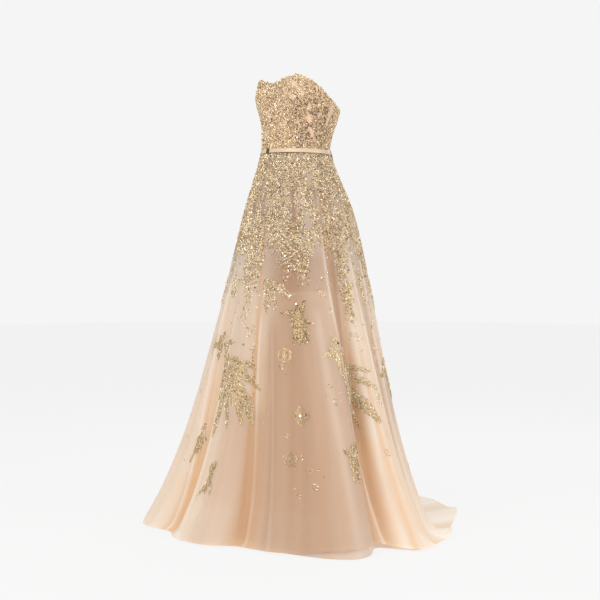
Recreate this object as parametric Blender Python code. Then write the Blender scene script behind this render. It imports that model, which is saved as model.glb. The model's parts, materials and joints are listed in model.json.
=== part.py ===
"""Strapless evening gown: panelled bodice, narrow belt and a full net skirt with a train.

Metres, +Z up. The origin is the centre of the waist, where the wearer holds the gown up.
The front faces -Y and the wearer's left is +X. An azimuth turns from the front (0 degrees)
through the wearer's left (90) to the centre back (180).
"""
from math import ceil, cos, degrees, exp, floor, hypot, log, pi, radians, sin

import bmesh
import bpy
from mathutils import Vector

# Driving sizes
FLOOR_DEPTH = 1.221
BODICE_WALL = 0.0020
SKIRT_WALL = 0.0015
UNDER_WALL = 0.0012
SLIP_WALL = 0.0012
SEAM_GAP = 0.0003

# Bodice rings above the waist: half width, and reach to the front and the back
BODICE_RINGS = (
    # height, side, front, back
    (0.000, 0.116, 0.100, 0.096),
    (0.045, 0.121, 0.095, 0.110),
    (0.084, 0.127, 0.089, 0.131),
    (0.108, 0.132, 0.092, 0.140),
    (0.134, 0.137, 0.095, 0.147),
    (0.162, 0.140, 0.101, 0.150),
    (0.190, 0.141, 0.102, 0.150),
    (0.230, 0.138, 0.097, 0.148),
)
# Top edge of the bodice: a shallow sweetheart that falls to the underarm and the back
NECKLINE = (
    # azimuth, height
    (0.0, 0.201),
    (16.0, 0.214),
    (37.0, 0.225),
    (54.0, 0.212),
    (64.0, 0.200),
    (74.0, 0.186),
    (84.0, 0.171),
    (94.0, 0.157),
    (104.0, 0.143),
    (116.0, 0.133),
    (142.0, 0.126),
    (180.0, 0.122),
)
CUP_AZIMUTH = 37.0
CUP_HALF_WIDTH = 34.0
CUP_HEIGHT = 0.158
CUP_HALF_HEIGHT = 0.075
CUP_FULLNESS = 0.009
CUP_HOLLOW = 0.004
CUP_HOLLOW_HALF_WIDTH = 22.0

# Skirt rings below the waist, before the folds
SKIRT_RINGS = (
    # depth, side, front, back
    (0.000, 0.116, 0.100, 0.096),
    (0.060, 0.132, 0.115, 0.117),
    (0.120, 0.154, 0.131, 0.146),
    (0.200, 0.181, 0.151, 0.185),
    (0.334, 0.216, 0.181, 0.215),
    (0.500, 0.258, 0.218, 0.230),
    (0.650, 0.299, 0.249, 0.231),
    (0.800, 0.345, 0.279, 0.224),
    (0.950, 0.399, 0.314, 0.218),
    (1.090, 0.462, 0.360, 0.217),
    (1.160, 0.501, 0.392, 0.219),
    (1.221, 0.538, 0.423, 0.224),
)
# Folds of the net: where each runs at the hem and at the waist, how far it spreads to the
# wearer's right (before) and left (after), how far it stands out at the hem, where it starts
FOLDS = (
    # hem azimuth, waist azimuth, before, after, height, start depth
    (-166.0, -168.0, 15.0, 15.0, 0.030, 0.22),
    (-150.0, -152.0, 13.0, 14.0, -0.032, 0.24),
    (-134.0, -134.0, 15.0, 15.0, 0.038, 0.20),
    (-117.0, -116.0, 13.0, 14.0, -0.040, 0.24),
    (-101.0, -98.0, 15.0, 14.0, 0.034, 0.18),
    (-84.0, -82.0, 14.0, 14.0, -0.040, 0.22),
    (-66.0, -64.0, 15.0, 15.0, 0.026, 0.20),
    (-42.0, -40.0, 20.0, 17.0, 0.028, 0.40),
    (-22.0, -13.0, 13.0, 12.0, -0.046, 0.24),
    (-2.0, -1.0, 15.0, 15.0, 0.024, 0.20),
    (17.0, 11.0, 12.0, 15.0, -0.046, 0.12),
    (57.0, 70.0, 28.0, 13.0, 0.074, 0.03),
    (73.0, 84.0, 10.0, 13.0, -0.072, 0.05),
    (89.0, 94.0, 13.0, 14.0, 0.022, 0.20),
    (105.0, 106.0, 12.0, 13.0, -0.030, 0.24),
    (121.0, 121.0, 14.0, 14.0, 0.018, 0.18),
    (137.0, 138.0, 13.0, 13.0, -0.036, 0.24),
    (152.0, 153.0, 14.0, 14.0, 0.022, 0.20),
    (168.0, 170.0, 13.0, 13.0, -0.026, 0.26),
)
FOLD_GROWTH = 1.15

# How the net meets the floor: sharply at the front, in a soft bend at the back
FRONT_BEND = 0.010
BACK_BEND = 0.038
HEM_CLEARANCE = 0.006
HEM_LIFT = 0.024
HEM_LIFT_AZIMUTH = 60.0
HEM_LIFT_HALF_WIDTH = 28.0
BACK_START = 80.0
BACK_SPAN = 50.0
TRAIN_START = 98.0
TRAIN_LENGTH = 0.378
TRAIN_EASE = 1.6
TRAIN_SPREAD = 0.05
TRAIN_FOLD_FADE = 0.7
TRAIN_RIPPLE = 0.030
TRAIN_RIPPLE_GAIN = 13.0

# Grid of the skirt: columns round the ring, rows down to the bend and rows through it
SKIRT_COLUMNS = 100
UPPER_ROW_SHARES = (0.0, 0.06, 0.12, 0.20, 0.29, 0.39, 0.50, 0.62, 0.74, 0.87, 1.0)
BEND_ZONE = 0.12
LOWER_ROW_SHARES = (0.26, 0.50, 0.75, 1.0)

BODICE_COLUMNS = 60
BODICE_ROW_SHARES = (1.0, 0.88, 0.75, 0.60, 0.43, 0.25, 0.06, 0.0)
SEAM_AZIMUTHS = (-180.0, -144.0, -90.0, -36.0, 36.0, 90.0, 144.0, 180.0)
PANEL_NAMES = (
    "back_right",
    "side_back_right",
    "side_front_right",
    "centre_front",
    "side_front_left",
    "side_back_left",
    "back_left",
)

# Inner layers: how far each lies inside the outer net at the waist and at its hem
UNDER_COLUMNS = 100
UNDER_SKIPPED_ROWS = (2, 3, 5, 7, 9)
UNDER_TOP_DROP = 0.0010
UNDER_INSET_TOP = 0.0018
UNDER_INSET_HEM = 0.0155
UNDER_INSET_SPAN = 0.32
UNDER_HEM_CLEARANCE = 0.003
UNDER_FOOT_START = 0.85
UNDER_FOOT_SPAN = 0.30
UNDER_FOOT_INSET = 0.022
UNDER_FOOT_FOLD_FADE = 0.8
SLIP_COLUMNS = 24
SLIP_ROW_SHARES = (0.0, 0.035, 0.10, 0.20, 0.50, 1.0)
SLIP_LENGTH = 0.46
SLIP_INSET_TOP = 0.0034
SLIP_RINGS = (
    # depth, side, front, back
    (0.000, 0.116, 0.100, 0.096),
    (0.080, 0.134, 0.114, 0.119),
    (0.180, 0.156, 0.126, 0.146),
    (0.300, 0.162, 0.130, 0.146),
    (0.460, 0.160, 0.130, 0.134),
)

BELT_COLUMNS = 60
BELT_HEIGHT = 0.0135
BELT_WALL = 0.0016
BELT_CLEARANCE = 0.0006
BELT_DROP = 0.011
BELT_LEAN = 0.005
CLASP_AZIMUTH = -9.0
CLASP_SIZE = (0.011, 0.0026)
CLASP_HEIGHTS = (0.0076, -0.0076)
KEEPER_AZIMUTH = 118.0
KEEPER_SIZE = (0.0035, 0.0016)
KEEPER_HEIGHTS = (0.0078, -0.0160)
ZIP_PULL_SIZE = (0.0050, 0.0014)
ZIP_PULL_LENGTH = 0.018
ZIP_PULL_DROP = 0.004
ZIP_PULL_LIFT = 0.0006

APPLIQUE_LIFT = 0.0006
APPLIQUE_THICKNESS = 0.0012

# One blade: how far each corner lies from its middle line, as a share of the blade's step, and
# how far out, as a share of its reach; the notch before each blade is a share of the length
BLADE_NOTCH = (-0.5, 0.32)
BLADE_CORNERS = (
    # step share, reach share
    (-0.22, 0.64),
    (0.00, 1.00),
    (0.26, 0.60),
)
# Blades of a fan get shorter by up to this share, in an uneven order
BLADE_SHORTENING = 0.16
BLADE_ORDER_STEP = 5
BLADE_ORDER_START = 2
BLADE_ORDER_COUNT = 4
# Short stem above the heart
STEM_CORNERS = (
    # turn from the fan's middle, share of the length
    (140.0, 0.17),
    (170.0, 0.50),
    (188.0, 0.52),
    (212.0, 0.20),
)
PETAL_MIDDLE = 0.76
PETAL_SWELL = 0.24
PETAL_CORNERS = 4

# Leaf sprays: blades fan out from a heart; a turn of 0 points down the skirt, and a positive
# one towards the wearer's left
SPRAYS = (
    # name, azimuth, depth, blade length, blades, fan, turn
    ("spray_front_right", 0.0, 0.705, 0.180, 6, 70.0, 20.0),
    ("spray_front_left", 69.5, 0.712, 0.140, 6, 90.0, 46.0),
    ("spray_centre", 42.0, 0.550, 0.070, 5, 110.0, -8.0),
    ("spray_low_left", 64.5, 0.945, 0.078, 3, 44.0, 8.0),
    ("spray_low_right", -2.5, 1.012, 0.070, 3, 56.0, -6.0),
    ("spray_low_side_right", -26.5, 0.930, 0.074, 3, 34.0, -10.0),
    ("spray_side_right", -74.0, 0.700, 0.150, 5, 80.0, -36.0),
    ("spray_back_right", -131.0, 0.740, 0.150, 5, 76.0, 16.0),
    ("spray_back_left", 122.0, 0.770, 0.150, 5, 76.0, -16.0),
    ("spray_centre_back", 180.0, 0.840, 0.160, 5, 90.0, 0.0),
)
# Florets: rounded petals round one crystal
FLORETS = (
    # name, azimuth, depth, radius, petals
    ("floret_upper", 33.0, 0.655, 0.022, 6),
    ("floret_front", 42.0, 0.834, 0.028, 4),
    ("floret_low", 36.0, 0.961, 0.023, 5),
    ("floret_side_right", -54.0, 0.960, 0.024, 5),
    ("floret_side_left", 103.0, 0.900, 0.024, 5),
    ("floret_back", -146.0, 0.985, 0.026, 5),
)

TULLE_COLOUR = (0.82, 0.62, 0.46, 1.0)
UNDER_COLOUR = (0.80, 0.58, 0.42, 1.0)
SLIP_COLOUR = (0.56, 0.37, 0.28, 1.0)
BODICE_COLOUR = (0.62, 0.45, 0.29, 1.0)
BELT_COLOUR = (0.74, 0.58, 0.42, 1.0)
BEAD_COLOUR = (0.55, 0.42, 0.22, 1.0)
METAL_COLOUR = (0.45, 0.34, 0.20, 1.0)


# Interpolation and easing


def clamp(value, low=0.0, high=1.0):
    return max(low, min(high, value))


def ease(value):
    share = clamp(value)
    return share * share * (3.0 - 2.0 * share)


def mix(first, second, share):
    return first + (second - first) * share


def slope_at(rows, index, column):
    before = rows[max(index - 1, 0)]
    after = rows[min(index + 1, len(rows) - 1)]
    return (after[column] - before[column]) / (after[0] - before[0])


def read_table(rows, at):
    """Smooth values of a table's other columns at a value of its first column."""
    at = clamp(at, rows[0][0], rows[-1][0])
    index = 0
    while index < len(rows) - 2 and at > rows[index + 1][0]:
        index += 1
    low, high = rows[index], rows[index + 1]
    span = high[0] - low[0]
    share = (at - low[0]) / span
    square, cube = share ** 2, share ** 3
    values = []
    for column in range(1, len(low)):
        rise = (cube - 2.0 * square + share) * span * slope_at(rows, index, column)
        fall = (cube - square) * span * slope_at(rows, index + 1, column)
        start = (2.0 * cube - 3.0 * square + 1.0) * low[column]
        end = (3.0 * square - 2.0 * cube) * high[column]
        values.append(start + rise + end + fall)
    return values


def turned(azimuth):
    """The same azimuth between -180 and 180 degrees."""
    return (azimuth + 180.0) % 360.0 - 180.0


# Rings of the body's general form


def ring_point(sizes, azimuth):
    side, front, back = sizes
    angle = radians(azimuth)
    reach = front if cos(angle) > 0.0 else back
    return Vector((side * sin(angle), -reach * cos(angle), 0.0))


def ring_run(sizes, azimuth):
    """Length of the ring for each radian of azimuth."""
    side, front, back = sizes
    angle = radians(azimuth)
    reach = front if cos(angle) > 0.0 else back
    return hypot(side * cos(angle), reach * sin(angle))


def ring_outward(sizes, azimuth):
    side, front, back = sizes
    angle = radians(azimuth)
    reach = front if cos(angle) > 0.0 else back
    return Vector((sin(angle) / side, -cos(angle) / reach, 0.0)).normalized()


# Bodice surface


def neckline(azimuth):
    return read_table(NECKLINE, abs(turned(azimuth)))[0]


def cup_bump(azimuth, height):
    across = (abs(turned(azimuth)) - CUP_AZIMUTH) / CUP_HALF_WIDTH
    upward = (height - CUP_HEIGHT) / CUP_HALF_HEIGHT
    cup = CUP_FULLNESS * ease(1.0 - abs(across)) * ease(1.0 - abs(upward))
    centre = turned(azimuth) / CUP_HOLLOW_HALF_WIDTH
    hollow = CUP_HOLLOW * ease(1.0 - abs(centre)) * ease(1.0 - abs(upward))
    return cup - hollow


def bodice_point(azimuth, share):
    height = neckline(azimuth) * share
    sizes = read_table(BODICE_RINGS, height)
    point = ring_point(sizes, azimuth)
    point += ring_outward(sizes, azimuth) * cup_bump(azimuth, height)
    point.z = height + SEAM_GAP / 2
    return point


# Skirt surface


def fold_profile(offset):
    """Height of a unit fold at an offset of -1 to 1 from its ridge."""
    if abs(offset) >= 1.0:
        return 0.0
    return cos(0.5 * pi * offset) ** 2


def fold_height(azimuth, depth):
    total = 0.0
    for at_hem, at_waist, before, after, height, start in FOLDS:
        if depth <= start:
            continue
        ridge = mix(at_waist, at_hem, depth / FLOOR_DEPTH)
        offset = turned(azimuth - ridge)
        spread = before if offset < 0.0 else after
        growth = ((depth - start) / (FLOOR_DEPTH - start)) ** FOLD_GROWTH
        total += height * growth * fold_profile(offset / spread)
    return total


def back_share(azimuth):
    return ease((abs(turned(azimuth)) - BACK_START) / BACK_SPAN)


def bend_size(azimuth):
    return mix(FRONT_BEND, BACK_BEND, back_share(azimuth))


def run_direction(azimuth):
    """Plan direction in which the net runs out along the floor."""
    angle = radians(azimuth)
    outward = Vector((sin(angle), -cos(angle), 0.0))
    trailing = Vector((TRAIN_SPREAD * sin(angle), 1.0, 0.0)).normalized()
    return outward.lerp(trailing, back_share(azimuth)).normalized()


def hem_clearance(azimuth):
    lift = HEM_LIFT * ease(1.0 - abs(turned(azimuth) - HEM_LIFT_AZIMUTH) / HEM_LIFT_HALF_WIDTH)
    return HEM_CLEARANCE + lift


def train_run(azimuth):
    share = clamp((abs(turned(azimuth)) - TRAIN_START) / (180.0 - TRAIN_START))
    return TRAIN_LENGTH * (0.5 - 0.5 * cos(pi * share)) ** TRAIN_EASE


def meridian_length(azimuth):
    """Value of the meridian parameter at the hem, past the floor depth where a train runs."""
    bend = bend_size(azimuth)
    at_clearance = -log(exp(hem_clearance(azimuth) / bend) - 1.0)
    over = bend * log(1.0 + exp(at_clearance)) + train_run(azimuth)
    return FLOOR_DEPTH + bend * log(exp(over / bend) - 1.0)


def skirt_point(azimuth, along):
    """Point of the outer net at a distance down its meridian."""
    bend = bend_size(azimuth)
    over = bend * log(1.0 + exp((along - FLOOR_DEPTH) / bend))
    depth = along - over
    flat_share = 1.0 / (1.0 + exp((FLOOR_DEPTH - along) / bend))
    sizes = read_table(SKIRT_RINGS, depth)
    fold = fold_height(azimuth, depth)
    point = ring_point(sizes, azimuth)
    point += ring_outward(sizes, azimuth) * fold * (1.0 - TRAIN_FOLD_FADE * flat_share)
    point += run_direction(azimuth) * over
    train_share = flat_share * back_share(azimuth)
    ripple = TRAIN_RIPPLE * clamp(0.5 + TRAIN_RIPPLE_GAIN * fold)
    point.z = -depth - SEAM_GAP / 2 + ripple * train_share
    return point


def skirt_rows(azimuth):
    upper = FLOOR_DEPTH - BEND_ZONE
    end = meridian_length(azimuth)
    rows = [upper * share for share in UPPER_ROW_SHARES]
    rows += [mix(upper, end, share) for share in LOWER_ROW_SHARES]
    return rows


# Walls


def column_azimuths(columns):
    return [-180.0 + 360.0 * column / columns for column in range(columns)]


def grid_from(columns, column_points):
    """Rows of points, top row first, from a function that gives one column's points."""
    by_column = [column_points(azimuth) for azimuth in column_azimuths(columns)]
    return [list(row) for row in zip(*by_column)]


def outward_normals(grid, level_rows=()):
    """Unit normals of a closed ring grid; the rows named stay level where pieces meet."""
    last = len(grid) - 1
    columns = len(grid[0])
    normals = []
    for index, row in enumerate(grid):
        above = grid[max(index - 1, 0)]
        below = grid[min(index + 1, last)]
        line = []
        for column in range(columns):
            across = row[(column + 1) % columns] - row[column - 1]
            upward = above[column] - below[column]
            normal = across.cross(upward)
            if index in level_rows:
                normal.z = 0.0
            line.append(normal.normalized())
        normals.append(line)
    return normals


def moved_out(grid, normals, distance):
    return [
        [point + normal * distance for point, normal in zip(row, line)]
        for row, line in zip(grid, normals)
    ]


def seam_shift(grid, row, column, sign):
    columns = len(grid[0])
    across = grid[row][(column + 1) % columns] - grid[row][(column - 1) % columns]
    return across.normalized() * (sign * SEAM_GAP / 2)


def cut_panel(grid, seam_grid, first, last):
    """Columns first to last of a ring grid, moved off each seam by half its gap."""
    columns = len(grid[0])
    panel = []
    for row in range(len(grid)):
        line = [grid[row][column % columns].copy() for column in range(first, last + 1)]
        line[0] += seam_shift(seam_grid, row, first % columns, 1.0)
        line[-1] += seam_shift(seam_grid, row, last % columns, -1.0)
        panel.append(line)
    return panel


def add_grid(mesh, grid):
    return [[mesh.verts.new(point) for point in row] for row in grid]


def add_quad(mesh, first, second, third, fourth):
    """Two triangles with their shared side from the first corner to the third."""
    mesh.faces.new((first, second, third))
    mesh.faces.new((first, third, fourth))


def add_sheet(mesh, verts, closed, faces_out):
    columns = len(verts[0])
    for row in range(len(verts) - 1):
        for column in range(columns if closed else columns - 1):
            after = (column + 1) % columns
            corners = (verts[row][column], verts[row + 1][column], verts[row + 1][after], verts[row][after])
            if faces_out:
                add_quad(mesh, *corners)
            else:
                first, second, third, fourth = corners
                mesh.faces.new((first, third, second))
                mesh.faces.new((first, fourth, third))


def add_rim(mesh, inner, outer, closed, faces_right=True):
    """Strip between two edges, facing to the right or the left of the way they run."""
    count = len(inner)
    for index in range(count if closed else count - 1):
        after = (index + 1) % count
        if faces_right:
            add_quad(mesh, inner[index], outer[index], outer[after], inner[after])
        else:
            add_quad(mesh, inner[index], inner[after], outer[after], outer[index])


def wall(name, inner, outer, material, closed):
    """One closed solid between an inner and an outer grid of the same shape."""
    mesh = bmesh.new()
    inner_verts = add_grid(mesh, inner)
    outer_verts = add_grid(mesh, outer)
    add_sheet(mesh, outer_verts, closed, True)
    add_sheet(mesh, inner_verts, closed, False)
    add_rim(mesh, inner_verts[0], outer_verts[0], closed)
    add_rim(mesh, outer_verts[-1], inner_verts[-1], closed)
    if not closed:
        add_rim(mesh, [row[0] for row in inner_verts], [row[0] for row in outer_verts], False, False)
        add_rim(mesh, [row[-1] for row in inner_verts], [row[-1] for row in outer_verts], False)
    return add_object(name, mesh, material)


def add_object(name, mesh, material):
    data = bpy.data.meshes.new(name)
    mesh.to_mesh(data)
    mesh.free()
    data.materials.append(material)
    data.shade_smooth()
    piece = bpy.data.objects.new(name, data)
    bpy.context.collection.objects.link(piece)
    return piece


# Garment pieces


def column_of(azimuth, columns):
    return round((azimuth + 180.0) / 360.0 * columns)


def make_panels(kind, grid, normals, thickness, material):
    """Cut one ring grid into panels at the seams and give each its wall."""
    columns = len(grid[0])
    outer = moved_out(grid, normals, thickness)
    for index, name in enumerate(PANEL_NAMES):
        first = column_of(SEAM_AZIMUTHS[index], columns)
        last = column_of(SEAM_AZIMUTHS[index + 1], columns)
        inner_panel = cut_panel(grid, grid, first, last)
        outer_panel = cut_panel(outer, grid, first, last)
        wall(kind + "_" + name, inner_panel, outer_panel, material, False)


def make_bodice(material):
    grid = grid_from(
        BODICE_COLUMNS,
        lambda azimuth: [bodice_point(azimuth, share) for share in BODICE_ROW_SHARES],
    )
    normals = outward_normals(grid, (len(grid) - 1,))
    make_panels("bodice", grid, normals, BODICE_WALL, material)


def skirt_grid():
    return grid_from(
        SKIRT_COLUMNS,
        lambda azimuth: [skirt_point(azimuth, along) for along in skirt_rows(azimuth)],
    )


def make_skirt(grid, normals, material):
    make_panels("skirt", grid, normals, SKIRT_WALL, material)


def under_depths():
    """Depths of the outer net's rows, a few left out, and of the under layer's own hem."""
    upper = FLOOR_DEPTH - BEND_ZONE
    shares = [share for row, share in enumerate(UPPER_ROW_SHARES) if row not in UNDER_SKIPPED_ROWS]
    return [UNDER_TOP_DROP + upper * share for share in shares] + [FLOOR_DEPTH - UNDER_HEM_CLEARANCE]


def under_point(azimuth, depth):
    """Under layer: the outer net's folds, set inside it, straight down to the floor."""
    share = depth / FLOOR_DEPTH
    sizes = read_table(SKIRT_RINGS, depth)
    foot_share = back_share(azimuth) * ease((depth - UNDER_FOOT_START) / UNDER_FOOT_SPAN)
    inset = mix(UNDER_INSET_TOP, UNDER_INSET_HEM, ease(share / UNDER_INSET_SPAN))
    inset += UNDER_FOOT_INSET * foot_share
    fold = fold_height(azimuth, depth) * (1.0 - UNDER_FOOT_FOLD_FADE * foot_share)
    outward = ring_outward(sizes, azimuth)
    point = ring_point(sizes, azimuth) + outward * (fold - inset)
    point.z = -depth
    return point


def make_under_layer(material):
    grid = grid_from(
        UNDER_COLUMNS,
        lambda azimuth: [under_point(azimuth, depth) for depth in under_depths()],
    )
    normals = outward_normals(grid, (0,))
    wall("skirt_under_layer", grid, moved_out(grid, normals, UNDER_WALL), material, True)


def slip_point(azimuth, share):
    depth = mix(2.0 * UNDER_TOP_DROP, SLIP_LENGTH, share)
    sizes = read_table(SLIP_RINGS, depth)
    point = ring_point(sizes, azimuth) - ring_outward(sizes, azimuth) * SLIP_INSET_TOP
    point.z = -depth
    return point


def make_slip(material):
    grid = grid_from(
        SLIP_COLUMNS,
        lambda azimuth: [slip_point(azimuth, share) for share in SLIP_ROW_SHARES],
    )
    normals = outward_normals(grid, (0,))
    wall("slip", grid, moved_out(grid, normals, SLIP_WALL), material, True)


# Belt, clasp, keeper and zip pull


def belt_level(azimuth):
    """The belt rests just below the waist seam and dips towards the wearer's left."""
    return -BELT_DROP - BELT_LEAN * sin(radians(azimuth))


def belt_point(azimuth, height):
    """Inner face of the belt at a height above its own middle."""
    level = height + belt_level(azimuth)
    rings = BODICE_RINGS if level >= 0.0 else SKIRT_RINGS
    sizes = read_table(rings, abs(level))
    offset = BODICE_WALL + BELT_CLEARANCE
    point = ring_point(sizes, azimuth) + ring_outward(sizes, azimuth) * offset
    point.z = level
    return point


def make_belt(material):
    half = BELT_HEIGHT / 2
    heights = (half, -half)
    grid = grid_from(
        BELT_COLUMNS,
        lambda azimuth: [belt_point(azimuth, height) for height in heights],
    )
    normals = outward_normals(grid, (0, 1))
    wall("belt", grid, moved_out(grid, normals, BELT_WALL), material, True)


def trim_block(name, azimuth, heights, size, lift, surface, material):
    """Small block that follows a surface of the garment, moved out from it."""
    width, thickness = size
    radius = surface(azimuth, 0.0)[0].length
    half_turn = degrees(0.5 * width / radius)
    inner = []
    outer = []
    for height in heights:
        inner_row = []
        outer_row = []
        for step in (-1.0, 0.0, 1.0):
            point, outward = surface(azimuth + step * half_turn, height)
            inner_row.append(point + outward * lift)
            outer_row.append(point + outward * (lift + thickness))
        inner.append(inner_row)
        outer.append(outer_row)
    return wall(name, inner, outer, material, False)


def belt_face(azimuth, height):
    outward = ring_outward(read_table(BODICE_RINGS, 0.0), azimuth)
    return belt_point(azimuth, height) + outward * BELT_WALL, outward


def bodice_face(azimuth, height):
    share = height / neckline(azimuth)
    sizes = read_table(BODICE_RINGS, height)
    outward = ring_outward(sizes, azimuth)
    return bodice_point(azimuth, share) + outward * BODICE_WALL, outward


def make_belt_trim(material):
    trim_block("belt_clasp", CLASP_AZIMUTH, CLASP_HEIGHTS, CLASP_SIZE, SEAM_GAP, belt_face, material)
    trim_block("belt_keeper", KEEPER_AZIMUTH, KEEPER_HEIGHTS, KEEPER_SIZE, SEAM_GAP, belt_face, material)


def make_zip_pull(material):
    top = neckline(180.0) - ZIP_PULL_DROP
    heights = (top, top - ZIP_PULL_LENGTH)
    trim_block("zip_pull", 180.0, heights, ZIP_PULL_SIZE, ZIP_PULL_LIFT, bodice_face, material)


# Raised applique


def blade_reach(length, blade):
    order = (blade * BLADE_ORDER_STEP + BLADE_ORDER_START) % BLADE_ORDER_COUNT
    return length * (1.0 - BLADE_SHORTENING * order / (BLADE_ORDER_COUNT - 1))


def spray_outline(length, blades, fan, turn):
    """Star-shaped outline of a fan of blades of uneven length, with a short stem above."""
    corners = []
    step = fan / (blades - 1)
    notch_step, notch_share = BLADE_NOTCH
    for blade in range(blades):
        centre = turn - fan / 2 + step * blade
        corners.append((centre + notch_step * step, notch_share * length))
        for step_share, reach_share in BLADE_CORNERS:
            corners.append((centre + step_share * step, reach_share * blade_reach(length, blade)))
    corners.append((turn + fan / 2 - notch_step * step, notch_share * length))
    for stem_turn, share in STEM_CORNERS:
        corners.append((turn + stem_turn, share * length))
    return [(reach * sin(radians(angle)), -reach * cos(radians(angle))) for angle, reach in corners]


def floret_outline(radius, petals):
    points = []
    corners = petals * PETAL_CORNERS
    for corner in range(corners):
        angle = 2.0 * pi * corner / corners
        reach = radius * (PETAL_MIDDLE + PETAL_SWELL * cos(petals * angle))
        points.append((reach * sin(angle), -reach * cos(angle)))
    return points


def row_at(along):
    """Row of the net's grid, with its fraction, at a distance down from the waist."""
    upper = FLOOR_DEPTH - BEND_ZONE
    share = along / upper
    row = 0
    while share > UPPER_ROW_SHARES[row + 1]:
        row += 1
    low, high = UPPER_ROW_SHARES[row], UPPER_ROW_SHARES[row + 1]
    return row + (share - low) / (high - low)


def place_on_net(azimuth, depth, across, upward):
    """Column and row on the net's grid of a point of an outline centred at a place."""
    along = depth - upward
    run = ring_run(read_table(SKIRT_RINGS, along), azimuth)
    column = (azimuth + degrees(across / run) + 180.0) / 360.0 * SKIRT_COLUMNS
    return column, row_at(along)


def surface_at(surface, column, row):
    """Point of a grid's own flat triangles at a column and row with fractions."""
    columns = len(surface[0])
    left, top = floor(column), floor(row)
    across, down = column - left, row - top
    corner = surface[top][left % columns]
    right = surface[top][(left + 1) % columns]
    below = surface[top + 1][left % columns]
    opposite = surface[top + 1][(left + 1) % columns]
    if down >= across:
        return corner + (below - corner) * down + (opposite - below) * across
    return corner + (right - corner) * across + (opposite - right) * down


def make_flat_patch(name, places, material):
    """Level slab over the cells that an outline touches, in columns and rows."""
    columns = [column for column, row in places]
    rows = [row for column, row in places]
    across = range(floor(min(columns)) - 1, ceil(max(columns)) + 2)
    down = range(floor(min(rows)), ceil(max(rows)) + 1)
    below = [[Vector((column, -row, 0.0)) for column in across] for row in down]
    above = [[Vector((column, -row, 1.0)) for column in across] for row in down]
    return wall(name, below, above, material, False)


def make_flat_cutter(name, places, material):
    mesh = bmesh.new()
    below = [mesh.verts.new((column, -row, -1.0)) for column, row in places]
    above = [mesh.verts.new((column, -row, 2.0)) for column, row in places]
    mesh.faces.new(list(reversed(below)))
    mesh.faces.new(above)
    add_rim(mesh, above, below, True)
    bmesh.ops.recalc_face_normals(mesh, faces=mesh.faces[:])
    return add_object(name, mesh, material)


def cut_flat_sheet(name, places, material):
    """Triangles of the level net inside an outline, as one open sheet."""
    patch = make_flat_patch(name + "_patch", places, material)
    cutter = make_flat_cutter(name + "_cutter", places, material)
    cut = patch.modifiers.new("outline", "BOOLEAN")
    cut.operation = "INTERSECT"
    cut.solver = "EXACT"
    cut.object = cutter
    evaluated = patch.evaluated_get(bpy.context.evaluated_depsgraph_get())
    data = bpy.data.meshes.new_from_object(evaluated)
    sheet = bmesh.new()
    sheet.from_mesh(data)
    not_on_top = [vertex for vertex in sheet.verts if vertex.co.z < 0.5]
    bmesh.ops.delete(sheet, geom=not_on_top, context="VERTS")
    upright = [face for face in sheet.faces if face.normal.z < 0.5]
    bmesh.ops.delete(sheet, geom=upright, context="FACES")
    bmesh.ops.triangulate(sheet, faces=sheet.faces[:])
    bpy.data.objects.remove(patch, do_unlink=True)
    bpy.data.objects.remove(cutter, do_unlink=True)
    return sheet


def make_applique(name, azimuth, depth, outline, lower, upper, material):
    """Lay the cut sheet on the net's own triangles, below and above, and close its edge."""
    places = [place_on_net(azimuth, depth, across, upward) for across, upward in outline]
    sheet = cut_flat_sheet(name, places, material)
    mesh = bmesh.new()
    below = {}
    above = {}
    for vertex in sheet.verts:
        column, row = vertex.co.x, -vertex.co.y
        below[vertex] = mesh.verts.new(surface_at(lower, column, row))
        above[vertex] = mesh.verts.new(surface_at(upper, column, row))
    for face in sheet.faces:
        mesh.faces.new([above[vertex] for vertex in face.verts])
        mesh.faces.new([below[vertex] for vertex in reversed(face.verts)])
    for edge in sheet.edges:
        if edge.is_boundary:
            loop = edge.link_loops[0]
            start, end = loop.vert, loop.link_loop_next.vert
            add_quad(mesh, below[start], below[end], above[end], above[start])
    sheet.free()
    return add_object(name, mesh, material)


def make_appliques(grid, normals, material):
    lower = moved_out(grid, normals, SKIRT_WALL + APPLIQUE_LIFT)
    upper = moved_out(grid, normals, SKIRT_WALL + APPLIQUE_LIFT + APPLIQUE_THICKNESS)
    for name, azimuth, depth, length, blades, fan, turn in SPRAYS:
        outline = spray_outline(length, blades, fan, turn)
        make_applique(name, azimuth, depth, outline, lower, upper, material)
    for name, azimuth, depth, radius, petals in FLORETS:
        outline = floret_outline(radius, petals)
        make_applique(name, azimuth, depth, outline, lower, upper, material)


def make_material(name, colour, roughness, metallic=0.0):
    material = bpy.data.materials.new(name)
    material.use_nodes = True
    shader = material.node_tree.nodes["Principled BSDF"]
    shader.inputs["Base Color"].default_value = colour
    shader.inputs["Roughness"].default_value = roughness
    shader.inputs["Metallic"].default_value = metallic
    material.diffuse_color = colour
    return material


def clear_scene():
    for piece in list(bpy.data.objects):
        bpy.data.objects.remove(piece, do_unlink=True)


def main():
    clear_scene()
    net = make_material("champagne net", TULLE_COLOUR, 0.6)
    under_net = make_material("champagne under net", UNDER_COLOUR, 0.65)
    nude = make_material("nude stretch lining", SLIP_COLOUR, 0.6)
    beaded = make_material("beaded net", BODICE_COLOUR, 0.4)
    satin = make_material("champagne satin", BELT_COLOUR, 0.35)
    beads = make_material("gold beads", BEAD_COLOUR, 0.3, 0.6)
    metal = make_material("antique gold metal", METAL_COLOUR, 0.3, 1.0)

    make_bodice(beaded)
    grid = skirt_grid()
    normals = outward_normals(grid, (0,))
    make_skirt(grid, normals, net)
    make_under_layer(under_net)
    make_slip(nude)
    make_belt(satin)
    make_belt_trim(metal)
    make_zip_pull(metal)
    make_appliques(grid, normals, beads)


main()
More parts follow.
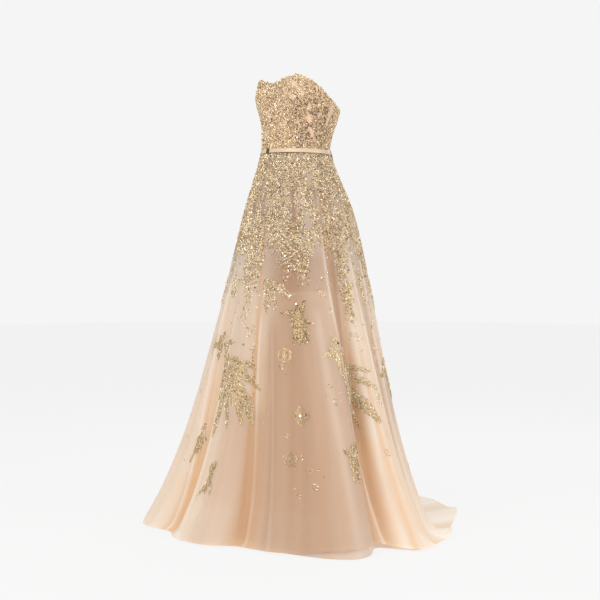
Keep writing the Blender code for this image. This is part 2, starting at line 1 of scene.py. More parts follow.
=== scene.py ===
"""Looks of a strapless evening gown: beaded bodice, satin belt, net skirt with a train.

Metres, +Z up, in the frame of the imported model. An azimuth turns from the front (0 degrees)
through the gown's left (90) to the centre back (180). A depth is measured down from the waist.
"""
import json
from math import cos, pi, radians, sin

import bpy
import numpy as np
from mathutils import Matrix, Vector

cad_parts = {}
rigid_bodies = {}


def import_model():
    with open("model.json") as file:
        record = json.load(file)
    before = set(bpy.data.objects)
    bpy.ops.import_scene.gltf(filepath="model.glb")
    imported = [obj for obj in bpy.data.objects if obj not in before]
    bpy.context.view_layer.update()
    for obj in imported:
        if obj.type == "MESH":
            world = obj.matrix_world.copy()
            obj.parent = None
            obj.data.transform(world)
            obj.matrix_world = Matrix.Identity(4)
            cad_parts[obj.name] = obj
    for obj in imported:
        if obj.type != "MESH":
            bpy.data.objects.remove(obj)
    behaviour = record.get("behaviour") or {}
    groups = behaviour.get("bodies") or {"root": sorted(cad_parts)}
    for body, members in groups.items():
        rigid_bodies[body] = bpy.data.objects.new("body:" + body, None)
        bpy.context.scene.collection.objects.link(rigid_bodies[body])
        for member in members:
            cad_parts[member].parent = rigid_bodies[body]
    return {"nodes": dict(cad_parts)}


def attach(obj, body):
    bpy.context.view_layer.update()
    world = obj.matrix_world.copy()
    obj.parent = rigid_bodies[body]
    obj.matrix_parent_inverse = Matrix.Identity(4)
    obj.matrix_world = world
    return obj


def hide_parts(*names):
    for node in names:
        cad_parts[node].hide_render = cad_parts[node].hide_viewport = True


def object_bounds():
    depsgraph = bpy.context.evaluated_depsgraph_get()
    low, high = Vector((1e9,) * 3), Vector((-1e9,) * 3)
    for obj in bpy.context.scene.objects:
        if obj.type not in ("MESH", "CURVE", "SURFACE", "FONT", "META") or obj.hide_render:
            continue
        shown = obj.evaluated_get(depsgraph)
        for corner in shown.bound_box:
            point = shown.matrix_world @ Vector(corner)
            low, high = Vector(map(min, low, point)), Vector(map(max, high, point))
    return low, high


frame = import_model()
CAD_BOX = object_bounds()

# Sizes that the solids have too
FLOOR_DEPTH = 1.221
BODICE_WALL = 0.0020
SKIRT_WALL = 0.0015
BODICE_RINGS = (
    # height, side, front, back
    (0.0, 0.116, 0.1, 0.096), (0.045, 0.121, 0.095, 0.11), (0.084, 0.127, 0.089, 0.131),
    (0.108, 0.132, 0.092, 0.14), (0.134, 0.137, 0.095, 0.147), (0.162, 0.14, 0.101, 0.15),
    (0.19, 0.141, 0.102, 0.15), (0.23, 0.138, 0.097, 0.148),
)
NECKLINE = (
    # azimuth, height
    (0.0, 0.201), (16.0, 0.214), (37.0, 0.225), (54.0, 0.212), (64.0, 0.2), (74.0, 0.186),
    (84.0, 0.171), (94.0, 0.157), (104.0, 0.143), (116.0, 0.133), (142.0, 0.126), (180.0, 0.122),
)
CUP_AZIMUTH = 37.0
CUP_HALF_WIDTH = 34.0
CUP_HEIGHT = 0.158
CUP_HALF_HEIGHT = 0.075
CUP_FULLNESS = 0.009
CUP_HOLLOW = 0.004
CUP_HOLLOW_HALF_WIDTH = 22.0
SKIRT_RINGS = (
    # depth, side, front, back
    (0.0, 0.116, 0.1, 0.096), (0.06, 0.132, 0.115, 0.117), (0.12, 0.154, 0.131, 0.146),
    (0.2, 0.181, 0.151, 0.185), (0.334, 0.216, 0.181, 0.215), (0.5, 0.258, 0.218, 0.23),
    (0.65, 0.299, 0.249, 0.231), (0.8, 0.345, 0.279, 0.224), (0.95, 0.399, 0.314, 0.218),
    (1.09, 0.462, 0.36, 0.217), (1.16, 0.501, 0.392, 0.219), (1.221, 0.538, 0.423, 0.224),
)
FOLDS = (
    # hem azimuth, waist azimuth, before, after, height, start depth
    (-166.0, -168.0, 15.0, 15.0, 0.03, 0.22), (-150.0, -152.0, 13.0, 14.0, -0.032, 0.24),
    (-134.0, -134.0, 15.0, 15.0, 0.038, 0.2), (-117.0, -116.0, 13.0, 14.0, -0.04, 0.24),
    (-101.0, -98.0, 15.0, 14.0, 0.034, 0.18), (-84.0, -82.0, 14.0, 14.0, -0.04, 0.22),
    (-66.0, -64.0, 15.0, 15.0, 0.026, 0.2), (-42.0, -40.0, 20.0, 17.0, 0.028, 0.4),
    (-22.0, -13.0, 13.0, 12.0, -0.046, 0.24), (-2.0, -1.0, 15.0, 15.0, 0.024, 0.2),
    (17.0, 11.0, 12.0, 15.0, -0.046, 0.12), (57.0, 70.0, 28.0, 13.0, 0.074, 0.03),
    (73.0, 84.0, 10.0, 13.0, -0.072, 0.05), (89.0, 94.0, 13.0, 14.0, 0.022, 0.2),
    (105.0, 106.0, 12.0, 13.0, -0.03, 0.24), (121.0, 121.0, 14.0, 14.0, 0.018, 0.18),
    (137.0, 138.0, 13.0, 13.0, -0.036, 0.24), (152.0, 153.0, 14.0, 14.0, 0.022, 0.2),
    (168.0, 170.0, 13.0, 13.0, -0.026, 0.26),
)
FOLD_GROWTH = 1.15
FRONT_BEND = 0.010
BACK_BEND = 0.038
HEM_CLEARANCE = 0.006
HEM_LIFT = 0.024
HEM_LIFT_AZIMUTH = 60.0
HEM_LIFT_HALF_WIDTH = 28.0
BACK_START = 80.0
BACK_SPAN = 50.0
TRAIN_START = 98.0
TRAIN_LENGTH = 0.378
TRAIN_EASE = 1.6
TRAIN_SPREAD = 0.05
TRAIN_FOLD_FADE = 0.7
TRAIN_RIPPLE = 0.030
TRAIN_RIPPLE_GAIN = 13.0
BEND_ZONE = 0.12
UNDER_TOP_DROP = 0.0010
UNDER_INSET_TOP = 0.0018
UNDER_INSET_HEM = 0.0155
UNDER_INSET_SPAN = 0.32
UNDER_HEM_CLEARANCE = 0.003
UNDER_FOOT_START = 0.85
UNDER_FOOT_SPAN = 0.30
UNDER_FOOT_INSET = 0.022
UNDER_FOOT_FOLD_FADE = 0.8
SLIP_LENGTH = 0.46
SLIP_INSET_TOP = 0.0034
SLIP_RINGS = (
    # depth, side, front, back
    (0.0, 0.116, 0.1, 0.096), (0.08, 0.134, 0.114, 0.119), (0.18, 0.156, 0.126, 0.146),
    (0.3, 0.162, 0.13, 0.146), (0.46, 0.16, 0.13, 0.134),
)
SEAM_AZIMUTHS = (-180.0, -144.0, -90.0, -36.0, 36.0, 90.0, 144.0, 180.0)
PANEL_NAMES = (
    "back_right",
    "side_back_right",
    "side_front_right",
    "centre_front",
    "side_front_left",
    "side_back_left",
    "back_left",
)
BELT_HEIGHT = 0.0135
BELT_WALL = 0.0016
BELT_CLEARANCE = 0.0006
BELT_DROP = 0.011
BELT_LEAN = 0.005

# Width of the hem, where the net covers more closely
HEM_BAND = 0.014

# Fineness of the shells
SKIRT_COLUMNS = 720
SKIRT_UPPER_ROWS = 104
SKIRT_LOWER_ROWS = 30
UNDER_COLUMNS = 360
UNDER_ROWS = 72
BODICE_COLUMNS = 360
BODICE_ROWS = 44
SLIP_COLUMNS = 120
SLIP_ROWS = 40
BEAD_NET_COLUMNS = 720
BEAD_NET_ROWS = 150
BEAD_NET_DEPTH = 0.62

# Creases of the net: a height below zero is a trough; a tone above zero is a pale doubled line
# and one below zero a deeper line of painted shade
CREASES = (
    # half width in degrees, height, tone, path of depths and azimuths
    (0.9, 0.0040, 0.85, ((0.04, 66.5), (0.17, 64.6), (0.35, 64.2), (0.50, 65.6), (0.62, 67.5),
                         (0.75, 68.4), (0.90, 69.0), (1.00, 73.0), (1.30, 76.0))),
    (4.0, -0.0050, -0.75, ((0.10, 70.0), (0.35, 69.0), (0.60, 72.0), (0.90, 74.0))),
    (1.1, -0.0050, -0.95, ((0.22, 7.0), (0.33, 7.6), (0.49, 9.6), (0.72, 11.0), (1.00, 12.4),
                           (1.30, 15.6))),
    (0.8, 0.0030, 0.35, ((0.50, 12.6), (0.72, 13.6), (1.30, 18.6))),
    (0.8, 0.0040, 0.75, ((0.38, -27.2), (0.62, -28.5), (0.84, -27.5), (1.06, -25.5), (1.30, -24.0))),
    (1.0, -0.0030, -0.60, ((0.45, -25.0), (0.84, -25.4), (1.06, -23.6), (1.30, -22.0))),
    (2.6, -0.0040, -0.35, ((0.50, 46.0), (0.75, 49.8), (0.90, 51.4), (1.04, 49.0), (1.30, 50.0))),
    (2.2, 0.0020, 0.30, ((0.50, 55.0), (0.75, 58.0), (1.00, 60.0), (1.30, 60.0))),
    (0.7, 0.0020, 0.26, ((0.55, 23.0), (0.70, 25.0), (1.30, 29.0))),
    (1.8, 0.0070, 0.55, ((0.40, 85.0), (0.70, 84.0), (0.88, 83.0), (1.05, 80.5), (1.30, 80.0))),
    (1.2, -0.0040, -0.60, ((0.60, 87.5), (0.96, 86.0), (1.30, 84.0))),
    (1.0, 0.0040, 0.55, ((0.30, 93.0), (0.60, 94.0), (1.00, 95.0), (1.30, 96.0))),
    (2.4, -0.0060, -0.50, ((0.40, 97.0), (0.80, 98.0), (1.30, 99.0))),
    (1.0, 0.0040, 0.60, ((0.30, 110.0), (0.80, 112.0), (1.30, 113.0))),
    (2.0, -0.0040, -0.45, ((0.40, 127.0), (0.80, 128.5), (1.30, 130.0))),
    (1.1, 0.0040, 0.60, ((0.30, 146.0), (0.80, 145.0), (1.30, 145.0))),
    (2.0, -0.0040, -0.45, ((0.40, 160.0), (0.80, 160.0), (1.30, 161.0))),
    (1.0, 0.0035, 0.55, ((0.30, 173.0), (0.80, 174.0), (1.30, 175.0))),
    (1.8, -0.0040, -0.45, ((0.40, -173.0), (0.80, -172.0), (1.30, -171.0))),
    (1.0, 0.0035, 0.60, ((0.30, -160.0), (0.80, -159.0), (1.30, -158.0))),
    (2.0, -0.0040, -0.45, ((0.40, -141.0), (0.80, -141.5), (1.30, -142.0))),
    (1.0, 0.0040, 0.60, ((0.30, -127.0), (0.80, -126.5), (1.30, -126.0))),
    (2.0, -0.0045, -0.45, ((0.40, -109.0), (0.80, -109.5), (1.30, -110.0))),
    (1.0, 0.0040, 0.60, ((0.30, -93.0), (0.80, -94.0), (1.30, -95.0))),
    (2.0, -0.0040, -0.45, ((0.40, -75.0), (0.80, -76.0), (1.30, -77.0))),
    (1.0, 0.0040, 0.55, ((0.30, -56.0), (0.80, -55.0), (1.30, -54.0))),
    (1.6, -0.0030, -0.40, ((0.40, -45.0), (0.80, -44.0), (1.30, -43.0))),
    (1.0, 0.0030, 0.40, ((0.50, -9.0), (0.80, -9.0), (1.30, -8.0))),
)
CREASE_FADE = 0.08
# Painted shade: places where the net is coloured deeper and browner, for the shade inside the skirt
# seen through its layers
SHADY_PLACES = (
    # half width in degrees, strength, path of depths and azimuths
    (13.0, 0.36, ((0.20, 30.0), (0.45, 31.0), (0.80, 34.0), (1.30, 38.0))),
    (21.0, 0.62, ((0.30, 39.0), (0.60, 44.0), (0.90, 47.0), (1.30, 48.0))),
    (5.0, 0.30, ((0.52, 23.0), (0.70, 24.0), (0.95, 26.0), (1.30, 28.0))),
    (8.0, 0.22, ((0.30, 60.0), (0.60, 62.0), (0.95, 63.0), (1.30, 60.0))),
    (9.0, 0.42, ((0.78, 12.0), (1.00, 13.0), (1.30, 15.0))),
    (4.5, 0.70, ((0.25, 70.0), (0.60, 72.0), (0.95, 74.0))),
    (7.0, 0.30, ((0.40, 2.0), (0.80, 2.0), (1.30, 2.0))),
    (3.2, 0.70, ((0.06, -12.0), (0.19, -12.0), (0.32, -12.0))),
    (3.0, 0.75, ((0.06, 35.0), (0.18, 37.0), (0.32, 40.0))),
    (2.4, 0.60, ((0.08, 61.0), (0.20, 64.0), (0.36, 67.0))),
    (2.2, 0.50, ((0.04, -2.0), (0.18, 1.0), (0.30, 3.0))),
    (10.0, 0.34, ((0.30, -70.0), (0.70, -72.0), (1.20, -74.0))),
    (9.0, 0.40, ((0.30, -118.0), (0.70, -118.0), (1.30, -118.0))),
    (12.0, 0.42, ((0.30, -150.0), (0.70, -150.0), (1.20, -150.0))),
    (10.0, 0.40, ((0.30, 140.0), (0.70, 140.0), (1.20, 138.0))),
    (10.0, 0.36, ((0.30, 170.0), (0.70, 170.0), (1.20, 170.0))),
    (8.0, 0.34, ((0.30, 108.0), (0.70, 108.0), (1.10, 107.0))),
)
# Ripples all round, which grow towards the hem: waves round the ring, turn, height at the hem
RIPPLES = (
    (23.0, 1.3, 0.0026), (41.0, 4.1, 0.0016), (67.0, 2.2, 0.0009),
)

# Dense beading of the skirt: depth of its lower edge, with its fingers
BAND_EDGE = (
    # azimuth, depth
    (-180.0, 0.33), (-168.0, 0.4), (-158.0, 0.31), (-146.0, 0.44), (-134.0, 0.32), (-122.0, 0.38),
    (-112.0, 0.3), (-100.0, 0.45), (-88.0, 0.33), (-76.0, 0.36), (-64.0, 0.45), (-54.0, 0.33),
    (-44.0, 0.31), (-34.0, 0.33), (-24.0, 0.335), (-14.0, 0.34), (-11.0, 0.36), (-8.0, 0.41),
    (-4.0, 0.45), (0.0, 0.49), (3.5, 0.49), (6.0, 0.45), (8.5, 0.36), (12.0, 0.32), (18.0, 0.33),
    (23.0, 0.34), (27.0, 0.37), (32.0, 0.4), (39.0, 0.4), (44.0, 0.42), (48.0, 0.43), (51.0, 0.41),
    (53.0, 0.35), (57.0, 0.32), (60.0, 0.29), (63.0, 0.33), (70.0, 0.34), (75.0, 0.35),
    (79.0, 0.42), (82.0, 0.49), (84.5, 0.54), (87.0, 0.51), (89.0, 0.44), (92.0, 0.34),
    (100.0, 0.29), (108.0, 0.33), (118.0, 0.44), (126.0, 0.35), (138.0, 0.32), (150.0, 0.42),
    (160.0, 0.33), (170.0, 0.36), (180.0, 0.33),
)
# Bare places in the beading of the skirt
BAND_GAPS = (
    # azimuth, depth, half width in degrees, half height
    (-3.0, 0.125, 2.6, 0.04), (2.5, 0.19, 2.6, 0.045), (-12.0, 0.195, 3.6, 0.028),
    (36.0, 0.165, 3.4, 0.034), (38.5, 0.215, 4.0, 0.028), (58.0, 0.105, 4.2, 0.03),
    (52.5, 0.238, 4.6, 0.036), (62.0, 0.17, 2.6, 0.05), (66.5, 0.2, 2.6, 0.04),
    (66.0, 0.262, 2.4, 0.03), (80.0, 0.205, 3.2, 0.034), (9.5, 0.3, 2.2, 0.04),
    (-30.0, 0.2, 3.0, 0.055), (-58.0, 0.17, 3.0, 0.06), (-84.0, 0.21, 3.4, 0.06),
    (-118.0, 0.16, 3.4, 0.05), (-150.0, 0.2, 3.4, 0.06), (98.0, 0.18, 3.4, 0.06),
    (112.0, 0.24, 3.4, 0.06), (134.0, 0.18, 3.4, 0.06), (164.0, 0.21, 3.4, 0.06),
    (180.0, 0.13, 2.8, 0.05),
)
# Bare places in the beading of the bodice
BODICE_GAPS = (
    # azimuth, height, half width in degrees, half height, lean in degrees for a metre of height
    (58.0, 0.086, 5.0, 0.02, -160.0), (64.0, 0.048, 4.4, 0.02, -200.0),
    (56.0, 0.124, 3.4, 0.014, 60.0), (34.0, 0.194, 7.0, 0.012, -150.0),
    (32.0, 0.154, 4.6, 0.011, -150.0), (46.0, 0.164, 3.2, 0.01, 100.0),
    (76.0, 0.1, 3.0, 0.022, 60.0), (100.0, 0.11, 6.0, 0.03, 60.0), (8.0, 0.14, 2.2, 0.016, 90.0),
    (-12.0, 0.11, 2.4, 0.014, -90.0), (18.0, 0.07, 2.0, 0.018, 60.0),
    (-26.0, 0.06, 2.6, 0.018, 80.0), (-44.0, 0.12, 3.0, 0.02, -120.0),
    (-66.0, 0.07, 3.0, 0.024, 120.0), (96.0, 0.08, 4.0, 0.022, 90.0),
    (120.0, 0.06, 3.4, 0.024, -90.0), (150.0, 0.08, 3.4, 0.02, 90.0),
    (-100.0, 0.08, 4.0, 0.022, -90.0), (-124.0, 0.05, 3.4, 0.022, 90.0),
    (-152.0, 0.08, 3.4, 0.02, -90.0),
)

# Shapes of the leaf sprays. Each row is a blade: start across, start down, turn, length, width and
# bow. The start is in metres from the spray's heart; a turn of 0 runs down the skirt and a
# positive one towards the gown's left; the bow is a share of the blade's length
WING_SPRAY = (
    (-0.104, -0.078, 38.0, 0.15, 0.044, 0.0), (-0.098, -0.042, 39.0, 0.108, 0.04, 0.0),
    (-0.074, -0.054, 10.0, 0.124, 0.042, 0.0), (-0.06, -0.048, 31.0, 0.14, 0.046, 0.0),
    (-0.034, -0.03, 42.0, 0.094, 0.032, 0.0), (-0.018, -0.034, 68.0, 0.094, 0.019, 0.05),
    (-0.016, -0.02, 60.0, 0.066, 0.038, 0.0), (0.008, 0.01, 58.0, 0.104, 0.019, 0.04),
    (0.0, 0.03, 46.0, 0.06, 0.032, 0.0), (0.014, 0.05, 29.0, 0.134, 0.031, 0.07),
    (0.025, 0.078, 17.0, 0.097, 0.012, 0.0), (-0.003, 0.05, 20.0, 0.068, 0.014, 0.0),
    (-0.022, 0.05, 16.0, 0.136, 0.018, 0.0), (-0.032, 0.056, -7.0, 0.158, 0.026, 0.03),
    (-0.03, 0.07, -53.0, 0.048, 0.018, 0.05), (-0.126, -0.07, -90.0, 0.032, 0.02, 0.05),
    (-0.13, -0.1, -4.0, 0.08, 0.02, 0.03), (-0.1, -0.068, 99.0, 0.09, 0.018, 0.05),
    (-0.126, -0.084, 152.0, 0.032, 0.016, 0.0),
)
FAN_SPRAY = (
    (-0.026, -0.098, -21.0, 0.054, 0.018, 0.03), (-0.025, -0.073, -51.0, 0.052, 0.018, 0.03),
    (-0.033, -0.086, 4.0, 0.066, 0.022, 0.0), (-0.027, -0.053, 1.0, 0.062, 0.015, 0.0),
    (-0.025, -0.014, 11.0, 0.046, 0.01, 0.0), (-0.017, -0.042, 157.0, 0.034, 0.013, 0.0),
    (0.003, -0.018, 3.0, 0.12, 0.048, 0.0), (-0.01, -0.012, 79.0, 0.1, 0.019, 0.05),
    (-0.006, 0.006, 64.0, 0.12, 0.024, 0.05), (-0.004, 0.032, 60.0, 0.062, 0.02, 0.0),
    (0.0, 0.052, 40.0, 0.14, 0.034, 0.07), (0.002, 0.072, 22.0, 0.116, 0.014, 0.0),
    (-0.01, 0.04, 2.0, 0.088, 0.014, 0.0),
)
CREST_SPRAY = (
    (-0.046, -0.03, 36.0, 0.074, 0.04, 0.0), (-0.05, -0.008, 96.0, 0.062, 0.034, 0.0),
    (-0.004, -0.019, 49.0, 0.076, 0.022, 0.05), (-0.04, 0.0, 8.0, 0.076, 0.017, 0.0),
    (-0.022, 0.004, 5.0, 0.052, 0.016, 0.0), (-0.004, 0.004, 9.0, 0.062, 0.014, 0.0),
    (-0.032, -0.014, 137.0, 0.03, 0.014, 0.0), (0.0, -0.017, 72.0, 0.04, 0.014, 0.0),
)
TUFT_SPRAY = (
    (-0.014, -0.036, 12.0, 0.082, 0.042, 0.0), (-0.004, -0.034, -86.0, 0.056, 0.014, 0.08),
    (0.008, -0.018, 168.0, 0.054, 0.012, 0.05), (-0.006, -0.03, 172.0, 0.024, 0.013, 0.0),
    (-0.014, 0.0, -2.0, 0.07, 0.014, 0.0), (-0.004, 0.006, 3.0, 0.062, 0.012, 0.0),
    (0.004, 0.008, 8.0, 0.06, 0.013, 0.0), (0.012, 0.004, 14.0, 0.058, 0.013, 0.04),
    (0.012, -0.008, 62.0, 0.024, 0.014, 0.0), (-0.016, -0.012, -60.0, 0.02, 0.012, 0.0),
)
LONG_SPRIG = (
    (0.002, -0.036, -8.0, 0.082, 0.025, 0.0), (0.008, -0.016, 149.0, 0.026, 0.013, 0.05),
    (-0.002, -0.002, -134.0, 0.034, 0.014, 0.05), (-0.002, 0.018, 8.0, 0.062, 0.011, 0.0),
    (0.006, -0.006, 12.0, 0.036, 0.011, 0.0), (-0.006, 0.03, -10.0, 0.04, 0.01, 0.0),
)
FORKED_SPRIG = (
    (0.0, -0.016, 156.0, 0.036, 0.027, 0.0), (0.008, -0.03, -6.0, 0.056, 0.021, 0.0),
    (0.003, 0.01, -33.0, 0.058, 0.011, 0.04), (0.006, 0.004, 26.0, 0.05, 0.013, 0.05),
    (0.002, 0.012, -4.0, 0.036, 0.01, 0.0),
)
SLIM_SPRIG = (
    (0.01, -0.044, -7.0, 0.08, 0.022, 0.03), (0.0, 0.012, -14.0, 0.05, 0.011, 0.03),
    (0.006, -0.036, 176.0, 0.03, 0.012, 0.0), (0.004, -0.02, 74.0, 0.026, 0.012, 0.05),
)
SPRAYS = {
    # name: azimuth, depth, shape, size, mirrored
    "spray_front_right": (0.0, 0.700, WING_SPRAY, 1.0, False),
    "spray_front_left": (71.0, 0.700, FAN_SPRAY, 1.0, False),
    "spray_centre": (43.0, 0.555, TUFT_SPRAY, 1.0, False),
    "spray_low_left": (65.0, 0.950, LONG_SPRIG, 1.0, False),
    "spray_low_right": (-2.5, 1.030, FORKED_SPRIG, 1.0, False),
    "spray_low_side_right": (-26.5, 0.945, SLIM_SPRIG, 1.0, False),
    "spray_side_right": (-74.0, 0.700, FAN_SPRAY, 1.0, True),
    "spray_back_right": (-131.0, 0.740, WING_SPRAY, 0.95, False),
    "spray_back_left": (125.0, 0.770, FAN_SPRAY, 1.05, False),
    "spray_centre_back": (180.0, 0.840, FAN_SPRAY, 1.05, True),
}
# Motifs whose beads are deeper than the others', or paler where below zero; the front left spray is
# paler as painted light on its shaded side
MOTIF_SHADES = {
    "floret_upper": 0.16,
    "floret_front": 0.30,
    "floret_low": 0.26,
    "spray_centre": 0.26,
    "spray_front_left": -0.14,
    "spray_low_left": 0.10,
}
# Sprays that lie in or just below the dense beading
UPPER_SPRAYS = (
    # azimuth, depth, shape, size, mirrored
    (24.0, 0.455, CREST_SPRAY, 1.00, False),
    (-20.0, 0.440, TUFT_SPRAY, 0.60, True),
    (86.0, 0.470, LONG_SPRIG, 0.90, False),
    (-58.0, 0.450, TUFT_SPRAY, 0.80, True),
    (-110.0, 0.430, TUFT_SPRAY, 0.85, False),
    (-148.0, 0.500, CREST_SPRAY, 1.00, True),
    (160.0, 0.470, TUFT_SPRAY, 0.85, False),
    (128.0, 0.450, CREST_SPRAY, 0.90, False),
    (104.0, 0.430, LONG_SPRIG, 0.90, True),
)
# Florets: petals of one length round a crystal
FLORETS = {
    # name: azimuth, depth, radius, petals
    "floret_upper": (33.0, 0.655, 0.022, 6),
    "floret_front": (42.0, 0.834, 0.028, 4),
    "floret_low": (36.0, 0.961, 0.023, 5),
    "floret_side_right": (-54.0, 0.960, 0.024, 5),
    "floret_side_left": (103.0, 0.900, 0.024, 5),
    "floret_back": (-146.0, 0.985, 0.026, 5),
}
# Sprigs too small for a solid of their own
SPRIGS = (
    # azimuth, depth, turn, length, pairs of ringlets
    (7.0, 0.578, 10.0, 0.03, 4), (-24.0, 0.405, -12.0, 0.04, 4), (-19.0, 0.467, 0.0, 0.02, 2),
    (-39.0, 0.44, -10.0, 0.046, 3), (3.0, 0.53, 0.0, 0.034, 2), (85.0, 0.598, 8.0, 0.034, 4),
    (86.0, 0.54, 0.0, 0.03, 2), (59.0, 0.46, -14.0, 0.03, 3), (61.0, 0.425, 10.0, 0.02, 2),
    (91.0, 0.785, 4.0, 0.03, 3), (96.0, 0.43, 0.0, 0.04, 3), (110.0, 0.5, -6.0, 0.038, 3),
    (109.0, 0.64, 0.0, 0.026, 2), (87.0, 0.945, 10.0, 0.02, 2), (-16.0, 0.62, -10.0, 0.022, 2),
    (-37.0, 0.77, 0.0, 0.03, 3), (-58.0, 0.56, 0.0, 0.036, 4), (-90.0, 0.56, 10.0, 0.034, 4),
    (-112.0, 0.52, -8.0, 0.036, 4), (-150.0, 0.56, 6.0, 0.036, 4), (-168.0, 0.62, 0.0, 0.034, 4),
    (136.0, 0.56, 0.0, 0.036, 4), (158.0, 0.6, -8.0, 0.034, 4), (-104.0, 0.9, 4.0, 0.034, 4),
    (150.0, 0.94, 0.0, 0.034, 4), (-120.0, 1.02, 0.0, 0.03, 3),
)
# Rings of small beads
RINGS = (
    # azimuth, depth, radius
    (31.0, 0.69, 0.007), (34.0, 0.892, 0.0055), (58.0, 0.745, 0.0065), (61.0, 0.79, 0.0085),
    (41.0, 0.956, 0.007), (46.0, 0.99, 0.005), (47.0, 1.03, 0.008), (40.0, 1.06, 0.0045),
    (66.0, 0.44, 0.006), (64.0, 0.52, 0.006), (87.0, 0.64, 0.006), (80.0, 0.56, 0.005),
    (-8.0, 0.5, 0.006), (-5.0, 0.54, 0.005), (2.0, 0.56, 0.006), (-36.0, 0.93, 0.006),
    (-60.0, 0.84, 0.007), (-86.0, 0.86, 0.007), (-96.0, 0.66, 0.006), (-118.0, 0.64, 0.006),
    (-142.0, 0.86, 0.007), (-160.0, 0.72, 0.006), (168.0, 0.7, 0.006), (150.0, 0.74, 0.007),
    (132.0, 0.92, 0.007), (112.0, 0.76, 0.006), (118.0, 1.0, 0.006),
)
# Single beads on the bare net
DOTS = (
    # azimuth, depth
    (34.0, 0.71), (43.0, 0.992), (49.0, 0.985), (51.0, 1.004), (38.0, 1.04), (56.0, 0.77),
    (63.0, 0.765), (52.0, 0.56), (54.0, 0.6), (8.0, 0.64), (-6.0, 0.61), (-17.0, 0.56),
    (-31.0, 1.0), (-28.0, 1.04), (70.0, 1.03), (95.0, 0.86), (100.0, 0.98), (90.0, 0.7),
    (13.0, 0.98), (20.0, 0.86), (-70.0, 0.9), (-110.0, 0.8), (-135.0, 0.62), (-170.0, 0.98),
    (175.0, 0.64), (160.0, 0.88), (142.0, 0.68), (128.0, 0.64),
)
# Strings of beads that run down from the dense beading
STRINGS = (
    # start azimuth, start depth, end azimuth, end depth
    (55.5, 0.11, 57.5, 0.3), (1.5, 0.48, -1.0, 0.545), (86.5, 0.48, 85.0, 0.57),
    (9.5, 0.62, 12.5, 0.88), (97.0, 0.23, 96.0, 0.43), (104.0, 0.24, 105.0, 0.42),
    (112.0, 0.46, 108.0, 0.7), (-30.0, 0.33, -33.0, 0.52), (-46.0, 0.31, -50.0, 0.5),
    (-80.0, 0.36, -80.0, 0.5), (-126.0, 0.38, -127.0, 0.52), (-158.0, 0.33, -160.0, 0.48),
    (142.0, 0.34, 143.0, 0.48), (166.0, 0.35, 166.0, 0.5),
)
# Crystals set one by one on the skirt
SKIRT_STONES = (
    # azimuth, depth, length, turn
    (31.0, 0.352, 0.0085, 20.0), (34.5, 0.385, 0.009, 30.0), (0.5, 0.455, 0.0095, 0.0),
    (36.0, 0.475, 0.01, 60.0), (64.5, 0.404, 0.0085, 0.0), (75.0, 0.33, 0.009, 0.0),
    (84.0, 0.405, 0.008, 0.0), (28.0, 0.3, 0.008, 15.0), (-4.0, 0.25, 0.009, 0.0),
    (20.0, 0.24, 0.008, 60.0), (60.0, 0.232, 0.008, 0.0), (78.0, 0.14, 0.0085, 0.0),
    (84.0, 0.235, 0.008, 30.0), (42.0, 0.834, 0.011, 0.0), (33.0, 0.655, 0.006, 0.0),
    (36.0, 0.961, 0.006, 0.0), (-54.0, 0.96, 0.007, 0.0), (103.0, 0.9, 0.007, 0.0),
    (-146.0, 0.985, 0.007, 0.0), (7.0, 0.7, 0.006, 0.0), (41.0, 0.5, 0.007, 0.0),
    (-100.0, 0.38, 0.009, 0.0), (-146.0, 0.38, 0.009, 0.0), (150.0, 0.36, 0.009, 0.0),
    (118.0, 0.38, 0.009, 0.0), (-64.0, 0.39, 0.009, 0.0),
)
DARK_STONES = (
    # azimuth, depth, length, turn
    (66.0, 0.618, 0.01, 90.0), (-12.0, 0.62, 0.009, 90.0), (4.0, 0.625, 0.008, 90.0),
    (68.0, 0.94, 0.008, 0.0), (45.0, 0.83, 0.005, 0.0), (24.0, 0.455, 0.006, 0.0),
    (70.0, 0.275, 0.008, 0.0), (90.0, 0.395, 0.008, 60.0),
)
# Crystals of the bodice
BODICE_STONES = (
    # azimuth, height, length, turn
    (42.0, 0.026, 0.008, 0.0), (49.0, 0.03, 0.008, 40.0), (45.0, 0.014, 0.009, 90.0),
    (54.0, 0.02, 0.007, 0.0), (58.0, 0.036, 0.007, 60.0), (38.0, 0.044, 0.007, 0.0),
    (-6.0, 0.11, 0.008, 0.0), (5.0, 0.04, 0.008, 60.0), (-18.0, 0.08, 0.007, 0.0),
    (56.0, 0.2, 0.008, 90.0), (20.0, 0.15, 0.007, 0.0), (-38.0, 0.06, 0.008, 0.0),
    (-60.0, 0.13, 0.008, 0.0), (110.0, 0.06, 0.008, 0.0), (150.0, 0.04, 0.008, 0.0),
    (-110.0, 0.06, 0.008, 0.0), (-150.0, 0.04, 0.008, 0.0),
)
BODICE_DARK_STONES = (
    # azimuth, height, length, turn
    (64.0, 0.176, 0.008, 60.0), (50.0, 0.13, 0.007, 0.0), (74.0, 0.11, 0.008, 0.0),
    (66.0, 0.1, 0.009, 90.0), (36.0, 0.104, 0.006, 0.0), (62.0, 0.062, 0.008, 90.0),
    (60.0, 0.04, 0.007, 20.0), (88.0, 0.09, 0.007, 0.0), (-30.0, 0.03, 0.006, 0.0),
    (-80.0, 0.09, 0.007, 0.0),
)

# Camera of the photograph's view
CAMERA_TURN = 45.0
CAMERA_DISTANCE = 4.05
CAMERA_SIDE_STEP = 0.0135
CAMERA_HEIGHT = -0.487
CAMERA_LENS = 74.88
CAMERA_SENSOR = 36.0

# Colours and finishes
NET_COLOURS = {
    # name: full name, light, deep; the deep colour is the net in full painted shade
    "net": ("champagne net", (0.955, 0.870, 0.765), (0.850, 0.590, 0.360)),
    "under net": ("champagne under net", (0.945, 0.845, 0.725), (0.830, 0.560, 0.335)),
}
# Colour of the net in the shady places: painted shade
SHADY_NET = (0.600, 0.385, 0.245)
NET_GLOW = 0.40
